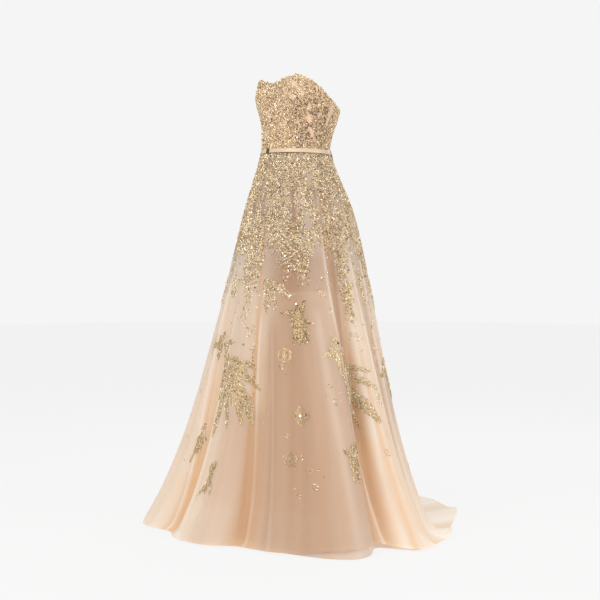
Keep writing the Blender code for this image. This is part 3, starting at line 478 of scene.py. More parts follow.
# How closely each net covers, at its top and at its hem
NET_COVER = (0.42, 0.80)
UNDER_NET_COVER = (0.36, 0.76)
NET_THREADS = 1400.0
NET_UNEVENNESS = 11.0
CLOTH_UNEVENNESS = 30.0
CLOTHS = {
    # name: full name, light, deep, roughness, sheen, threads per metre
    # The slip is the nude lining's colour darkened with painted shade, for the shade it lies in
    # under the net
    "slip": ("nude lining", (0.30, 0.165, 0.135), (0.25, 0.13, 0.105), 0.55, 0.2, 1600.0),
    "bodice": ("nude net over lining", (0.72, 0.50, 0.36), (0.62, 0.41, 0.28), 0.60, 0.2, 1200.0),
    "satin": ("champagne satin", (0.63, 0.48, 0.325), (0.62, 0.45, 0.29), 0.36, 0.2, 2400.0),
    # The piping's dark colour also paints the belt's shadow line along its lower edge
    "piping": ("bronze piping", (0.16, 0.10, 0.06), (0.12, 0.07, 0.04), 0.40, 0.2, 2400.0),
}
# The palest bead tones are partly painted glints
BEAD_TONES = (
    # share, colour
    (0.00, (0.130, 0.088, 0.044)),
    (0.09, (0.280, 0.185, 0.085)),
    (0.24, (0.600, 0.430, 0.215)),
    (0.50, (0.810, 0.635, 0.370)),
    (0.78, (0.930, 0.805, 0.570)),
    (1.00, (0.995, 0.950, 0.850)),
)
BEAD_WORK_DARK = (0.360, 0.225, 0.105)
BEAD_WORK_TONES = (
    # share, colour
    (0.00, BEAD_WORK_DARK),
    (0.35, (0.740, 0.540, 0.305)),
    (1.00, (0.900, 0.760, 0.530)),
)
BEAD_WORK_CELLS = 430.0
# How much deeper the beads are all over, and the painted shade where the bodice turns
BEAD_SHADE = 0.05
SKIRT_BEAD_UNEVENNESS = 0.06
BODICE_SHADE = 0.28
BODICE_SHADE_PLACE = (62.0, 0.070, 46.0, 0.110)
CRYSTALS = {
    # name: colour, roughness
    "crystal": ((0.95, 0.93, 0.90), 0.06),
    "smoky stone": ((0.16, 0.13, 0.10), 0.10),
}
METAL_DARK = (0.10, 0.065, 0.035)
METAL_LIGHT = (0.34, 0.24, 0.13)

# Walls of the cloth as it shows
SLIP_CLOTH = 0.0006
BODICE_CLOTH = 0.0012
BELT_CLOTH = 0.0014
BELT_CROWN = 0.0009
BELT_COLUMNS = 240
BELT_ROWS = 9
PIPING_RADIUS = 0.0011
PIPING_SIDES = 6
PIPING_DROP = 0.0006
PIPING_PROUD = 0.0004

# How the beads are strewn
BEADING = {
    # name: spacing, most on a square metre, smallest, largest, tilt, along the grain, seed
    "bodice": (0.0022, 450000.0, 0.76, 1.14, 0.55, 0.8, 0),
    "skirt": (0.0023, 400000.0, 0.76, 1.16, 0.60, 0.7, 10),
    "sprays": (0.0019, 600000.0, 0.68, 1.05, 0.55, 0.8, 30),
    "small motifs": (0.0022, 500000.0, 0.75, 1.10, 0.45, 1.0, 90),
    "neckline": (0.0020, 500000.0, 0.80, 1.15, 0.50, 1.0, 120),
}
BEADING_INPUTS = (
    # label, kind of socket
    ("Spacing", "NodeSocketFloat"),
    ("Beads per square metre", "NodeSocketFloat"),
    ("Smallest", "NodeSocketFloat"),
    ("Largest", "NodeSocketFloat"),
    ("Tilt", "NodeSocketFloat"),
    ("Along the grain", "NodeSocketFloat"),
    ("Seed", "NodeSocketInt"),
    ("Beads", "NodeSocketCollection"),
    ("Finish", "NodeSocketMaterial"),
)
BODICE_BEAD_ROWS = 90
BEAD_NET_TOP = 0.001
BODICE_BEAD_LIFT = 0.0002
SKIRT_BEAD_LIFT = 0.0006
NECKLINE_BEAD_LIFT = 0.0012
MOTIF_LIFT = 0.002
SKIRT_STONE_LIFT = 0.0034
BODICE_STONE_LIFT = 0.0016
NECKLINE_PETAL_STEP = 4.0
NECKLINE_PETAL_REACH = (0.0006, 0.0052)
NECKLINE_PETAL_DROP = 0.0022
NECKLINE_PETAL_SQUASH = 0.75
NECKLINE_RADIUS = 0.14
DOT_RADIUS = 0.0016

# Studio
LIGHTS = (
    # name, azimuth, elevation, distance, size, power, colour
    ("key", 12.0, 34.0, 3.6, (2.2, 2.6), 83.0, (1.0, 0.98, 0.95)),
    ("fill", 100.0, 20.0, 3.8, (2.0, 2.6), 56.0, (1.0, 0.97, 0.94)),
    ("back", 205.0, 40.0, 3.8, (2.4, 2.4), 40.0, (1.0, 0.98, 0.96)),
)
LIGHT_AIM = Vector((0.0, 0.0, -0.55))
STUDIO_GLOW = (1.0, 0.985, 0.965, 1.0)
STUDIO_STRENGTH = 0.50
BACKDROP = (0.913, 0.913, 0.913, 1.0)
FLOOR_COLOUR = (0.08, 0.08, 0.08, 1.0)
FLOOR_GLOW = 0.93
FLOOR_HALF_SIZE = 30.0
FLOOR_GAP = 0.001


# Interpolation


def ease(value):
    share = np.clip(value, 0.0, 1.0)
    return share * share * (3.0 - 2.0 * share)


def mix(first, second, share):
    return first + (second - first) * share


def table_values(rows, at):
    """Smooth values of a table's other columns at values of its first column."""
    keys = np.array([row[0] for row in rows])
    values = np.array([row[1:] for row in rows])
    last = len(keys) - 1
    before = np.clip(np.arange(last + 1) - 1, 0, last)
    after = np.clip(np.arange(last + 1) + 1, 0, last)
    slopes = (values[after] - values[before]) / (keys[after] - keys[before])[:, None]
    at = np.clip(np.asarray(at, float), keys[0], keys[-1])
    low = np.clip(np.searchsorted(keys, at) - 1, 0, last - 1)
    span = keys[low + 1] - keys[low]
    share = ((at - keys[low]) / span)[..., None]
    span = span[..., None]
    square, cube = share ** 2, share ** 3
    rise = (cube - 2.0 * square + share) * span * slopes[low]
    fall = (cube - square) * span * slopes[low + 1]
    start = (2.0 * cube - 3.0 * square + 1.0) * values[low]
    end = (3.0 * square - 2.0 * cube) * values[low + 1]
    return start + rise + end + fall


def turned(azimuth):
    return (azimuth + 180.0) % 360.0 - 180.0


def unit(vectors):
    return vectors / np.linalg.norm(vectors, axis=-1, keepdims=True)


# Surfaces of the gown


def ring_parts(sizes, azimuth):
    """Points of a ring and their outward directions in plan."""
    angle = np.radians(azimuth)
    side = sizes[..., 0]
    reach = np.where(np.cos(angle) > 0.0, sizes[..., 1], sizes[..., 2])
    level = np.zeros_like(side * angle)
    points = np.stack([side * np.sin(angle), -reach * np.cos(angle), level], axis=-1)
    outward = np.stack([np.sin(angle) / side, -np.cos(angle) / reach, level], axis=-1)
    return points, unit(outward)


def ring_run(sizes, azimuth):
    """Length of a ring for each radian of azimuth."""
    angle = np.radians(azimuth)
    reach = np.where(np.cos(angle) > 0.0, sizes[..., 1], sizes[..., 2])
    return np.hypot(sizes[..., 0] * np.cos(angle), reach * np.sin(angle))


def neckline(azimuth):
    return table_values(NECKLINE, np.abs(turned(azimuth)))[..., 0]


def cup_bump(azimuth, height):
    across = (np.abs(turned(azimuth)) - CUP_AZIMUTH) / CUP_HALF_WIDTH
    upward = (height - CUP_HEIGHT) / CUP_HALF_HEIGHT
    cup = CUP_FULLNESS * ease(1.0 - np.abs(across)) * ease(1.0 - np.abs(upward))
    centre = turned(azimuth) / CUP_HOLLOW_HALF_WIDTH
    hollow = CUP_HOLLOW * ease(1.0 - np.abs(centre)) * ease(1.0 - np.abs(upward))
    return cup - hollow


def bodice_points(azimuth, height):
    points, outward = ring_parts(table_values(BODICE_RINGS, height), azimuth)
    points = points + outward * cup_bump(azimuth, height)[..., None]
    points[..., 2] = height
    return points


def fold_height(azimuth, depth):
    total = np.zeros(np.broadcast(azimuth, depth).shape)
    for at_hem, at_waist, before, after, height, start in FOLDS:
        ridge = mix(at_waist, at_hem, depth / FLOOR_DEPTH)
        offset = turned(azimuth - ridge)
        offset = offset / np.where(offset < 0.0, before, after)
        grown = np.clip((depth - start) / (FLOOR_DEPTH - start), 0.0, None)
        shape = np.where(np.abs(offset) < 1.0, np.cos(0.5 * pi * offset) ** 2, 0.0)
        total = total + height * grown ** FOLD_GROWTH * shape
    return total


def crease_shape(azimuth, depth, half_width, path):
    """1 along the middle of a crease, and 0 clear of it."""
    offset = turned(azimuth - table_values(path, depth)[..., 0]) / half_width
    ends = ease((depth - path[0][0]) / CREASE_FADE) * ease((path[-1][0] - depth) / CREASE_FADE)
    return np.exp(-(offset ** 2)) * ends


def crease_sum(azimuth, depth, rows):
    """Sum of creases, each as strong as its row says."""
    total = np.zeros(np.broadcast(azimuth, depth).shape)
    for half_width, strength, path in rows:
        total = total + strength * crease_shape(azimuth, depth, half_width, path)
    return total


def crease_height(azimuth, depth):
    """Small creases and ripples, which the solids leave out."""
    rows = [(half_width, height, path) for half_width, height, tone, path in CREASES]
    total = crease_sum(azimuth, depth, rows)
    for waves, turn, height in RIPPLES:
        angle = np.radians(waves * azimuth) + turn + 2.0 * np.sin(3.0 * depth + turn)
        total = total + height * np.sin(angle) * ease((depth - 0.25) / 0.9)
    return total


def back_share(azimuth):
    return ease((np.abs(turned(azimuth)) - BACK_START) / BACK_SPAN)


def bend_size(azimuth):
    return mix(FRONT_BEND, BACK_BEND, back_share(azimuth))


def run_directions(azimuth):
    """Plan direction in which the net runs out along the floor."""
    angle = np.radians(azimuth)
    level = np.zeros_like(angle)
    outward = np.stack([np.sin(angle), -np.cos(angle), level], axis=-1)
    trailing = unit(np.stack([TRAIN_SPREAD * np.sin(angle), level + 1.0, level], axis=-1))
    return unit(mix(outward, trailing, back_share(azimuth)[..., None]))


def hem_clearance(azimuth):
    across = np.abs(turned(azimuth) - HEM_LIFT_AZIMUTH) / HEM_LIFT_HALF_WIDTH
    return HEM_CLEARANCE + HEM_LIFT * ease(1.0 - across)


def train_run(azimuth):
    share = np.clip((np.abs(turned(azimuth)) - TRAIN_START) / (180.0 - TRAIN_START), 0.0, 1.0)
    return TRAIN_LENGTH * (0.5 - 0.5 * np.cos(pi * share)) ** TRAIN_EASE


def meridian_length(azimuth):
    bend = bend_size(azimuth)
    at_clearance = -np.log(np.exp(hem_clearance(azimuth) / bend) - 1.0)
    over = bend * np.log(1.0 + np.exp(at_clearance)) + train_run(azimuth)
    return FLOOR_DEPTH + bend * np.log(np.exp(over / bend) - 1.0)


def skirt_points(azimuth, along):
    """Points of the outer net at distances down its meridians."""
    bend = bend_size(azimuth)
    over = bend * np.logaddexp(0.0, (along - FLOOR_DEPTH) / bend)
    depth = along - over
    flat_share = 1.0 / (1.0 + np.exp((FLOOR_DEPTH - along) / bend))
    points, outward = ring_parts(table_values(SKIRT_RINGS, depth), azimuth)
    fold = fold_height(azimuth, depth)
    proud = fold * (1.0 - TRAIN_FOLD_FADE * flat_share)
    proud = proud + crease_height(azimuth, depth) * (1.0 - flat_share)
    points = points + outward * proud[..., None] + run_directions(azimuth) * over[..., None]
    ripple = TRAIN_RIPPLE * np.clip(0.5 + TRAIN_RIPPLE_GAIN * fold, 0.0, 1.0)
    points[..., 2] = -depth + ripple * flat_share * back_share(azimuth)
    return points


def under_points(azimuth, depth):
    foot_share = back_share(azimuth) * ease((depth - UNDER_FOOT_START) / UNDER_FOOT_SPAN)
    inset = mix(UNDER_INSET_TOP, UNDER_INSET_HEM, ease(depth / FLOOR_DEPTH / UNDER_INSET_SPAN))
    inset = inset + UNDER_FOOT_INSET * foot_share
    fold = fold_height(azimuth, depth) * (1.0 - UNDER_FOOT_FOLD_FADE * foot_share)
    points, outward = ring_parts(table_values(SKIRT_RINGS, depth), azimuth)
    points = points + outward * (fold - inset)[..., None]
    points[..., 2] = -depth
    return points


def slip_points(azimuth, depth):
    points, outward = ring_parts(table_values(SLIP_RINGS, depth), azimuth)
    points = points - outward * SLIP_INSET_TOP
    points[..., 2] = -depth
    return points


# Grids and meshes


def ring_azimuths(columns):
    return -180.0 + 360.0 * np.arange(columns) / columns


def ring_normals(points):
    """Outward unit normals of a closed grid whose rows run down."""
    across = np.roll(points, -1, axis=1) - np.roll(points, 1, axis=1)
    down = np.gradient(points, axis=0)
    return unit(np.cross(down, across))


def full_grid(columns, down):
    """Azimuths of a closed grid's columns and distances down its rows, for every point."""
    azimuth = ring_azimuths(columns)[None, :]
    down = down[:, None]
    return azimuth + 0.0 * down, down + 0.0 * azimuth


def skirt_grid():
    azimuth = ring_azimuths(SKIRT_COLUMNS)[None, :]
    upper = FLOOR_DEPTH - BEND_ZONE
    first = upper * np.linspace(0.0, 1.0, SKIRT_UPPER_ROWS)[:, None]
    share = np.linspace(0.0, 1.0, SKIRT_LOWER_ROWS + 1)[1:, None]
    second = mix(upper, meridian_length(azimuth), share)
    along = np.concatenate([first + 0.0 * azimuth, second], axis=0)
    azimuth = azimuth + 0.0 * along
    points = skirt_points(azimuth, along)
    return azimuth, along, points, ring_normals(points)


def grid_quads(rows, columns, closed):
    index = np.arange(rows * columns).reshape(rows, columns)
    if closed:
        index = np.concatenate([index, index[:, :1]], axis=1)
    corners = [index[:-1, :-1], index[1:, :-1], index[1:, 1:], index[:-1, 1:]]
    return np.stack(corners, axis=-1).reshape(-1, 4)


def sheet_mesh(name, points, quads, places=None, values=None):
    """Mesh of quads, with its places on the cloth as UVs in metres and named values."""
    data = bpy.data.meshes.new(name)
    data.vertices.add(len(points))
    data.vertices.foreach_set("co", points.reshape(-1))
    data.loops.add(quads.size)
    data.loops.foreach_set("vertex_index", quads.reshape(-1))
    data.polygons.add(len(quads))
    data.polygons.foreach_set("loop_start", np.arange(0, quads.size, 4))
    data.update(calc_edges=True)
    data.shade_smooth()
    if places is not None:
        uv_map = data.uv_layers.new(name="cloth")
        uv_map.uv.foreach_set("vector", places[quads.reshape(-1)].reshape(-1))
    for key, value in (values or {}).items():
        if value.ndim == 1:
            data.attributes.new(key, "FLOAT", "POINT").data.foreach_set("value", value)
        else:
            attribute = data.attributes.new(key, "FLOAT_VECTOR", "POINT")
            attribute.data.foreach_set("vector", value.reshape(-1))
    return data


def add_piece(name, data, material, slot, replaced=()):
    piece = bpy.data.objects.new(name, data)
    bpy.context.scene.collection.objects.link(piece)
    data.materials.clear()
    data.materials.append(material)
    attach(piece, "root")
    if replaced:
        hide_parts(*replaced)
    return piece


def cloth_places(azimuth, along, points):
    """Places on the cloth in metres: round the ring at its own width, and down."""
    radius = np.linalg.norm(points[..., :2], axis=-1).mean()
    return np.stack([np.radians(azimuth) * radius, -along], axis=-1).reshape(-1, 2)


def add_sheet(data, points, look, replaced, held, rests_on="belt", wall=0.0):
    """Piece of cloth that replaces a solid, thickened when a wall is given."""
    piece = add_piece(data.name, data, *look, [replaced])
    if wall:
        solid = piece.modifiers.new("thickness", "SOLIDIFY")
        solid.thickness = wall
        solid.offset = 0.0


def add_shell(name, azimuth, down, points, values, *details, **options):
    """Sheet of a whole closed grid."""
    own = {key: value.reshape(-1) for key, value in values.items()}
    quads = grid_quads(*points.shape[:2], True)
    places = cloth_places(azimuth, down, points)
    data = sheet_mesh(name, points.reshape(-1, 3), quads, places, own)
    add_sheet(data, points, *details, **options)


def add_panels(name, down, points, values, look, replaced, *details, **options):
    """Sheet for each sewn panel of a closed grid."""
    columns = points.shape[1]
    for panel, (first, last) in panel_columns(columns).items():
        count = np.arange(first, last + 1)
        picked = count % columns
        part = points[:, picked]
        turn = SEAM_AZIMUTHS[0] + 360.0 * count / columns + 0.0 * down[:, picked]
        places = cloth_places(turn, down[:, picked], part)
        own = {key: value[:, picked].reshape(-1) for key, value in values.items()}
        quads = grid_quads(*part.shape[:2], False)
        data = sheet_mesh(name + panel, part.reshape(-1, 3), quads, places, own)
        add_sheet(data, part, look, replaced + panel, *details, **options)


# Shader building


def new_material(name):
    material = bpy.data.materials.new(name)
    material.use_nodes = True
    tree = material.node_tree
    return material, tree, tree.nodes["Principled BSDF"]


def add_node(tree, kind, **settings):
    node = tree.nodes.new(kind)
    for key, value in settings.items():
        setattr(node, key, value)
    return node


def put(socket, value):
    """Links a socket to another one, or sets its value."""
    if isinstance(value, bpy.types.NodeSocket):
        socket.id_data.links.new(value, socket)
    else:
        socket.default_value = value


def set_inputs(node, **values):
    """Puts values or links into inputs by name, with an underscore for each space."""
    for key, value in values.items():
        put(node.inputs[key.replace("_", " ")], value)
    return node


def colour_ramp(tree, factor, stops):
    ramp = add_node(tree, "ShaderNodeValToRGB")
    elements = ramp.color_ramp.elements
    for index, (position, colour) in enumerate(stops):
        element = elements[index] if index < 2 else elements.new(position)
        element.position = position
        element.color = (*colour, 1.0)
    put(ramp.inputs["Fac"], factor)
    return ramp.outputs["Color"]


def math_node(tree, operation, first, second, clamp=False):
    node = add_node(tree, "ShaderNodeMath", operation=operation, use_clamp=clamp)
    put(node.inputs[0], first)
    put(node.inputs[1], second)
    return node.outputs["Value"]


def mix_colours(tree, factor, first, second):
    node = add_node(tree, "ShaderNodeMix", data_type="RGBA")
    put(node.inputs["Factor"], factor)
    for socket, value in zip(node.inputs[6:8], (first, second)):
        put(socket, (*value, 1.0) if isinstance(value, tuple) else value)
    return node.outputs[2]


def mix_shaders(tree, factor, first, second):
    node = add_node(tree, "ShaderNodeMixShader")
    for socket, value in zip(node.inputs, (factor, first, second)):
        put(socket, value)
    return node.outputs["Shader"]


def make_weave_group():
    """Fine crossed threads on the cloth's own map, with a soft unevenness."""
    group = bpy.data.node_groups.new("crossed threads", "ShaderNodeTree")
    for label in ("Threads per metre", "Unevenness"):
        group.interface.new_socket(label, in_out="INPUT", socket_type="NodeSocketFloat")
    for label in ("Thread", "Cloud"):
        group.interface.new_socket(label, in_out="OUTPUT", socket_type="NodeSocketFloat")
    given = group.nodes.new("NodeGroupInput").outputs
    leave = group.nodes.new("NodeGroupOutput")
    places = add_node(group, "ShaderNodeUVMap", uv_map="cloth").outputs["UV"]
    parts = set_inputs(add_node(group, "ShaderNodeSeparateXYZ"), Vector=places)
    waves = []
    for axis in ("X", "Y"):
        scaled = math_node(group, "MULTIPLY", parts.outputs[axis], given["Threads per metre"])
        angle = math_node(group, "MULTIPLY", scaled, 2.0 * pi)
        wave = math_node(group, "SINE", angle, 0.0)
        waves.append(math_node(group, "MULTIPLY", wave, 0.5))
    crossed = math_node(group, "MAXIMUM", *waves)
    noise = add_node(group, "ShaderNodeTexNoise")
    set_inputs(noise, Detail=4.0, Vector=places, Scale=given["Unevenness"])
    thread = math_node(group, "ADD", crossed, 0.5)
    set_inputs(leave, Thread=thread, Cloud=noise.outputs["Fac"])
    return group


def place_weave(tree, threads, density, unevenness):
    """Threads and cloud of the weave in a material."""
    node = add_node(tree, "ShaderNodeGroup", node_tree=threads)
    set_inputs(node, Threads_per_metre=density, Unevenness=unevenness)
    return node.outputs["Thread"], node.outputs["Cloud"]


def add_bump(tree, shader, height, strength, distance):
    bump = add_node(tree, "ShaderNodeBump")
    set_inputs(bump, Strength=strength, Distance=distance, Height=height)
    set_inputs(shader, Normal=bump.outputs["Normal"])


def read_value(tree, name):
    node = add_node(tree, "ShaderNodeAttribute", attribute_name=name)
    return node.outputs["Fac"]


def make_net(threads, name, light, deep):
    """Sheer net: deeper in its hollows and browner in its shady places, both painted shade, clearer
    where its own value says so.
    """
    material, tree, shader = new_material(name)
    thread, cloud = place_weave(tree, threads, NET_THREADS, NET_UNEVENNESS)
    cloud = math_node(tree, "SUBTRACT", math_node(tree, "MULTIPLY", cloud, 0.30), 0.12)
    # Painted shade: the hollow value, with a little random cloud, moves the colour towards the deep
    # one
    shade = math_node(tree, "ADD", read_value(tree, "hollow"), cloud, True)
    colour = mix_colours(tree, shade, light, deep)
    # Painted shade: browner where the shady value says so
    colour = mix_colours(tree, read_value(tree, "shady"), colour, SHADY_NET)
    set_inputs(shader, Base_Color=colour, Roughness=0.62, Specular_IOR_Level=0.25)
    set_inputs(shader, Sheen_Weight=0.25, Sheen_Roughness=0.4)
    add_bump(tree, shader, thread, 0.15, 0.0003)
    threads_seen = math_node(tree, "SUBTRACT", math_node(tree, "MULTIPLY", thread, 0.10), 0.05)
    alpha = math_node(tree, "ADD", read_value(tree, "cover"), threads_seen, True)
    glow = set_inputs(add_node(tree, "ShaderNodeBsdfTranslucent"), Color=colour)
    cloth = mix_shaders(tree, NET_GLOW, shader.outputs["BSDF"], glow.outputs["BSDF"])
    clear = add_node(tree, "ShaderNodeBsdfTransparent")
    sheer = mix_shaders(tree, alpha, clear.outputs["BSDF"], cloth)
    set_inputs(tree.nodes["Material Output"], Surface=sheer)
    return material


def make_cloth(threads, name, light, deep, roughness, sheen, density):
    """Closely woven cloth."""
    material, tree, shader = new_material(name)
    thread, cloud = place_weave(tree, threads, density, CLOTH_UNEVENNESS)
    colour = mix_colours(tree, cloud, light, deep)
    set_inputs(shader, Base_Color=colour, Roughness=roughness, Sheen_Weight=sheen)
    add_bump(tree, shader, thread, 0.2, 0.0002)
    return material


def make_beads():
    """Gold beads and sequins, each with a tone of its own; the palest tones also paint glints."""
    material, tree, shader = new_material("gold beads")
    colour = colour_ramp(tree, read_value(tree, "tone"), BEAD_TONES)
    set_inputs(shader, Base_Color=colour, Metallic=0.40, Roughness=0.26)
    return material


def make_crystal(name, colour, roughness):
    material, tree, shader = new_material(name)
    darker = tuple(0.5 * part for part in colour)
    shade = mix_colours(tree, read_value(tree, "tone"), colour, darker)
    set_inputs(shader, Base_Color=shade, Metallic=0.85, Roughness=roughness, Coat_Weight=1.0)
    return material


def object_places(tree):
    return add_node(tree, "ShaderNodeTexCoord").outputs["Object"]


def make_bead_work():
    """Closely sewn bead work: round beads in cells, dark between them, partly the thread and partly
    painted shade at their rims.
    """
    material, tree, shader = new_material("gold bead work")
    cells = add_node(tree, "ShaderNodeTexVoronoi")
    set_inputs(cells, Scale=BEAD_WORK_CELLS, Randomness=0.8, Vector=object_places(tree))
    # Painted shade: darker towards each cell's edge, at the beads' rims and in the gaps between them
    between = math_node(tree, "MULTIPLY", cells.outputs["Distance"], 1.25, True)
    tone = set_inputs(add_node(tree, "ShaderNodeSeparateColor"), Color=cells.outputs["Color"])
    colour = colour_ramp(tree, tone.outputs["Red"], BEAD_WORK_TONES)
    colour = mix_colours(tree, between, colour, BEAD_WORK_DARK)
    colour = mix_colours(tree, read_value(tree, "shade"), colour, BEAD_WORK_DARK)
    set_inputs(shader, Base_Color=colour, Metallic=0.25, Roughness=0.38)
    add_bump(tree, shader, between, -0.7, 0.0009)
    return material


def make_metal():
    material, tree, shader = new_material("antique gold")
    noise = add_node(tree, "ShaderNodeTexNoise")
    set_inputs(noise, Scale=420.0, Detail=5.0, Vector=object_places(tree))
    colour = mix_colours(tree, noise.outputs["Fac"], METAL_DARK, METAL_LIGHT)
    set_inputs(shader, Base_Color=colour, Metallic=1.0, Roughness=0.28)
    add_bump(tree, shader, noise.outputs["Fac"], 0.15, 0.0002)
    return material


# Geometry Nodes that set beads on cloth


def make_small_shape(name, points, faces):
    data = bpy.data.meshes.new(name)
    data.from_pydata(points, [], faces)
    data.update()
    return bpy.data.objects.new(name, data)


def ring_of(count, radius, height, turn=0.0):
    angles = [2.0 * pi * index / count + turn for index in range(count)]
    return [(radius * cos(angle), radius * sin(angle), height) for angle in angles]


def make_sequin(radius=0.0019, sides=6):
    """Cupped disc, open towards the viewer."""
    points = [(0.0, 0.0, 0.0)] + ring_of(sides, radius, 0.0005)
    faces = [(0, 1 + side, 1 + (side + 1) % sides) for side in range(sides)]
    return make_small_shape("sequin", points, faces)


def make_seed_bead(radius=0.0012, sides=4):
    points = ring_of(sides, radius, 0.0009) + [(0.0, 0.0, 0.0021), (0.0, 0.0, -0.0002)]
    faces = []
    for side in range(sides):
        after = (side + 1) % sides
        faces.append((side, after, sides))
        faces.append((after, side, sides + 1))
    return make_small_shape("seed bead", points, faces)


def make_bugle_bead(length=0.0052, radius=0.0008):
    """Short tube that lies along the stitch line."""
    section = [(-radius, 0.0002), (0.0, 2.0 * radius), (radius, 0.0002)]
    points = [(end * length / 2, across, up) for end in (-1.0, 1.0) for across, up in section]
    faces = [(0, 3, 4, 1), (1, 4, 5, 2), (0, 1, 2), (3, 5, 4)]
    return make_small_shape("bugle bead", points, faces)


def make_stone():
    """Faceted oval stone of unit length, with a flat table."""
    base = [(0.5 * x, 0.30 * y, 0.0) for x, y, z in ring_of(8, 1.0, 0.0)]
    girdle = [(0.5 * x, 0.30 * y, 0.12) for x, y, z in ring_of(8, 1.0, 0.0)]
    table = [(0.26 * x, 0.16 * y, 0.30) for x, y, z in ring_of(8, 1.0, 0.0, pi / 8)]
    faces = [tuple(range(16, 24))]
    for side in range(8):
        after = (side + 1) % 8
        faces.append((side, after, 8 + after, 8 + side))
        faces.append((8 + side, 8 + after, 16 + side))
        faces.append((8 + after, 16 + after, 16 + side))
    return make_small_shape("stone", base + girdle + table, faces)


def collect(name, makers):
    """Collection of small shapes for a tree to choose from; one may be in it more than once."""
    collection = bpy.data.collections.new(name)
    for index, maker in enumerate(makers):
        shape = maker()
        shape.name = f"{name} {index:02d}"
        collection.objects.link(shape)
    return collection


def new_tree(name, inputs):
    """Geometry Nodes tree with named inputs."""
    tree = bpy.data.node_groups.new(name, "GeometryNodeTree")
    geometry = "NodeSocketGeometry"
    tree.interface.new_socket("Geometry", in_out="INPUT", socket_type=geometry)
    tree.interface.new_socket("Geometry", in_out="OUTPUT", socket_type=geometry)
    for label, kind in inputs:
        tree.interface.new_socket(label, in_out="INPUT", socket_type=kind)
    return tree, tree.nodes.new("NodeGroupInput").outputs


def random_value(tree, low, high, seed, kind="FLOAT"):
    node = add_node(tree, "FunctionNodeRandomValue", data_type=kind)
    first, output = {"FLOAT": (2, 1), "INT": (4, 2), "FLOAT_VECTOR": (0, 0)}[kind]
    put(node.inputs[first], low)
    put(node.inputs[first + 1], high)
    node.inputs["Seed"].default_value = seed
    return node.outputs[output]


def named_value(tree, name, kind="FLOAT"):
    node = add_node(tree, "GeometryNodeInputNamedAttribute", data_type=kind)
    return set_inputs(node, Name=name).outputs["Attribute"]


def align(tree, factor, vector, **settings):
    """Rotations that turn an axis towards a direction."""
    node = add_node(tree, "FunctionNodeAlignRotationToVector", **settings)
    set_inputs(node, Factor=factor, Vector=vector)
    return node


def make_bead_tree():
    """Strews beads over cloth where its cover value says so, and turns them to its grain."""
    tree, given = new_tree("strewn beads", BEADING_INPUTS)
    strew = add_node(tree, "GeometryNodeDistributePointsOnFaces", distribute_method="POISSON")
    set_inputs(strew, Mesh=given["Geometry"], Seed=given["Seed"])
    set_inputs(strew, Distance_Min=given["Spacing"], Density_Max=given["Beads per square metre"])
    set_inputs(strew, Density_Factor=named_value(tree, "cover"))
    grain = named_value(tree, "grain", "FLOAT_VECTOR")
    aligned = align(tree, given["Along the grain"], grain, axis="X", pivot_axis="Z")
    set_inputs(aligned, Rotation=strew.outputs["Rotation"])
    spin = random_value(tree, (-1.0, -1.0, -0.5), (1.0, 1.0, 0.5), 11, "FLOAT_VECTOR")
    scaled = add_node(tree, "ShaderNodeVectorMath", operation="SCALE")
    put(scaled.inputs[0], spin)
    set_inputs(scaled, Scale=given["Tilt"])
    tilt = add_node(tree, "FunctionNodeEulerToRotation")
    set_inputs(tilt, Euler=scaled.outputs["Vector"])
    rotate = add_node(tree, "FunctionNodeRotateRotation", rotation_space="LOCAL")
    set_inputs(rotate, Rotation=aligned.outputs["Rotation"], Rotate_By=tilt.outputs["Rotation"])
    info = add_node(tree, "GeometryNodeCollectionInfo")
    set_inputs(info, Collection=given["Beads"], Separate_Children=True, Reset_Children=True)
    place = add_node(tree, "GeometryNodeInstanceOnPoints")
    set_inputs(place, Points=strew.outputs["Points"], Instance=info.outputs["Instances"])
    set_inputs(place, Pick_Instance=True, Instance_Index=random_value(tree, 0, 99, 37, "INT"))
    size = random_value(tree, given["Smallest"], given["Largest"], 23)
    set_inputs(place, Rotation=rotate.outputs["Rotation"], Scale=size)
    tone = random_value(tree, 0.0, 1.0, 53)
    tone = math_node(tree, "SUBTRACT", tone, named_value(tree, "shade"), True)
    finish_tree(tree, given, place, tone)
    return tree


def finish_tree(tree, given, place, tone):
    """Every tree keeps its tone, realizes its instances and gives them their material."""
    store = add_node(
        tree, "GeometryNodeStoreNamedAttribute", data_type="FLOAT", domain="INSTANCE"
    )
    set_inputs(store, Geometry=place.outputs["Instances"], Name="tone", Value=tone)
    realize = add_node(tree, "GeometryNodeRealizeInstances")
    set_inputs(realize, Geometry=store.outputs["Geometry"])
    finish = add_node(tree, "GeometryNodeSetMaterial")
    set_inputs(finish, Geometry=realize.outputs["Geometry"], Material=given["Finish"])
    leave = add_node(tree, "NodeGroupOutput")
    set_inputs(leave, Geometry=finish.outputs["Geometry"])


def make_stone_tree():
    """Sets one stone on each point, at the point's own size and turned to its own frame."""
    inputs = [("Stones", "NodeSocketCollection"), ("Finish", "NodeSocketMaterial")]
    tree, given = new_tree("set stones", inputs)
    to_points = add_node(tree, "GeometryNodeMeshToPoints")
    set_inputs(to_points, Mesh=given["Geometry"])
    info = add_node(tree, "GeometryNodeCollectionInfo")
    set_inputs(info, Collection=given["Stones"])
    facing = named_value(tree, "facing", "FLOAT_VECTOR")
    grain = named_value(tree, "grain", "FLOAT_VECTOR")
    upright = align(tree, 1.0, facing, axis="Z")
    aligned = align(tree, 1.0, grain, axis="X", pivot_axis="Z")
    set_inputs(aligned, Rotation=upright.outputs["Rotation"])
    place = add_node(tree, "GeometryNodeInstanceOnPoints")
    set_inputs(place, Points=to_points.outputs["Points"], Instance=info.outputs["Instances"])
    set_inputs(place, Rotation=aligned.outputs["Rotation"], Scale=named_value(tree, "size"))
    finish_tree(tree, given, place, random_value(tree, 0.0, 1.0, 71))
    return tree


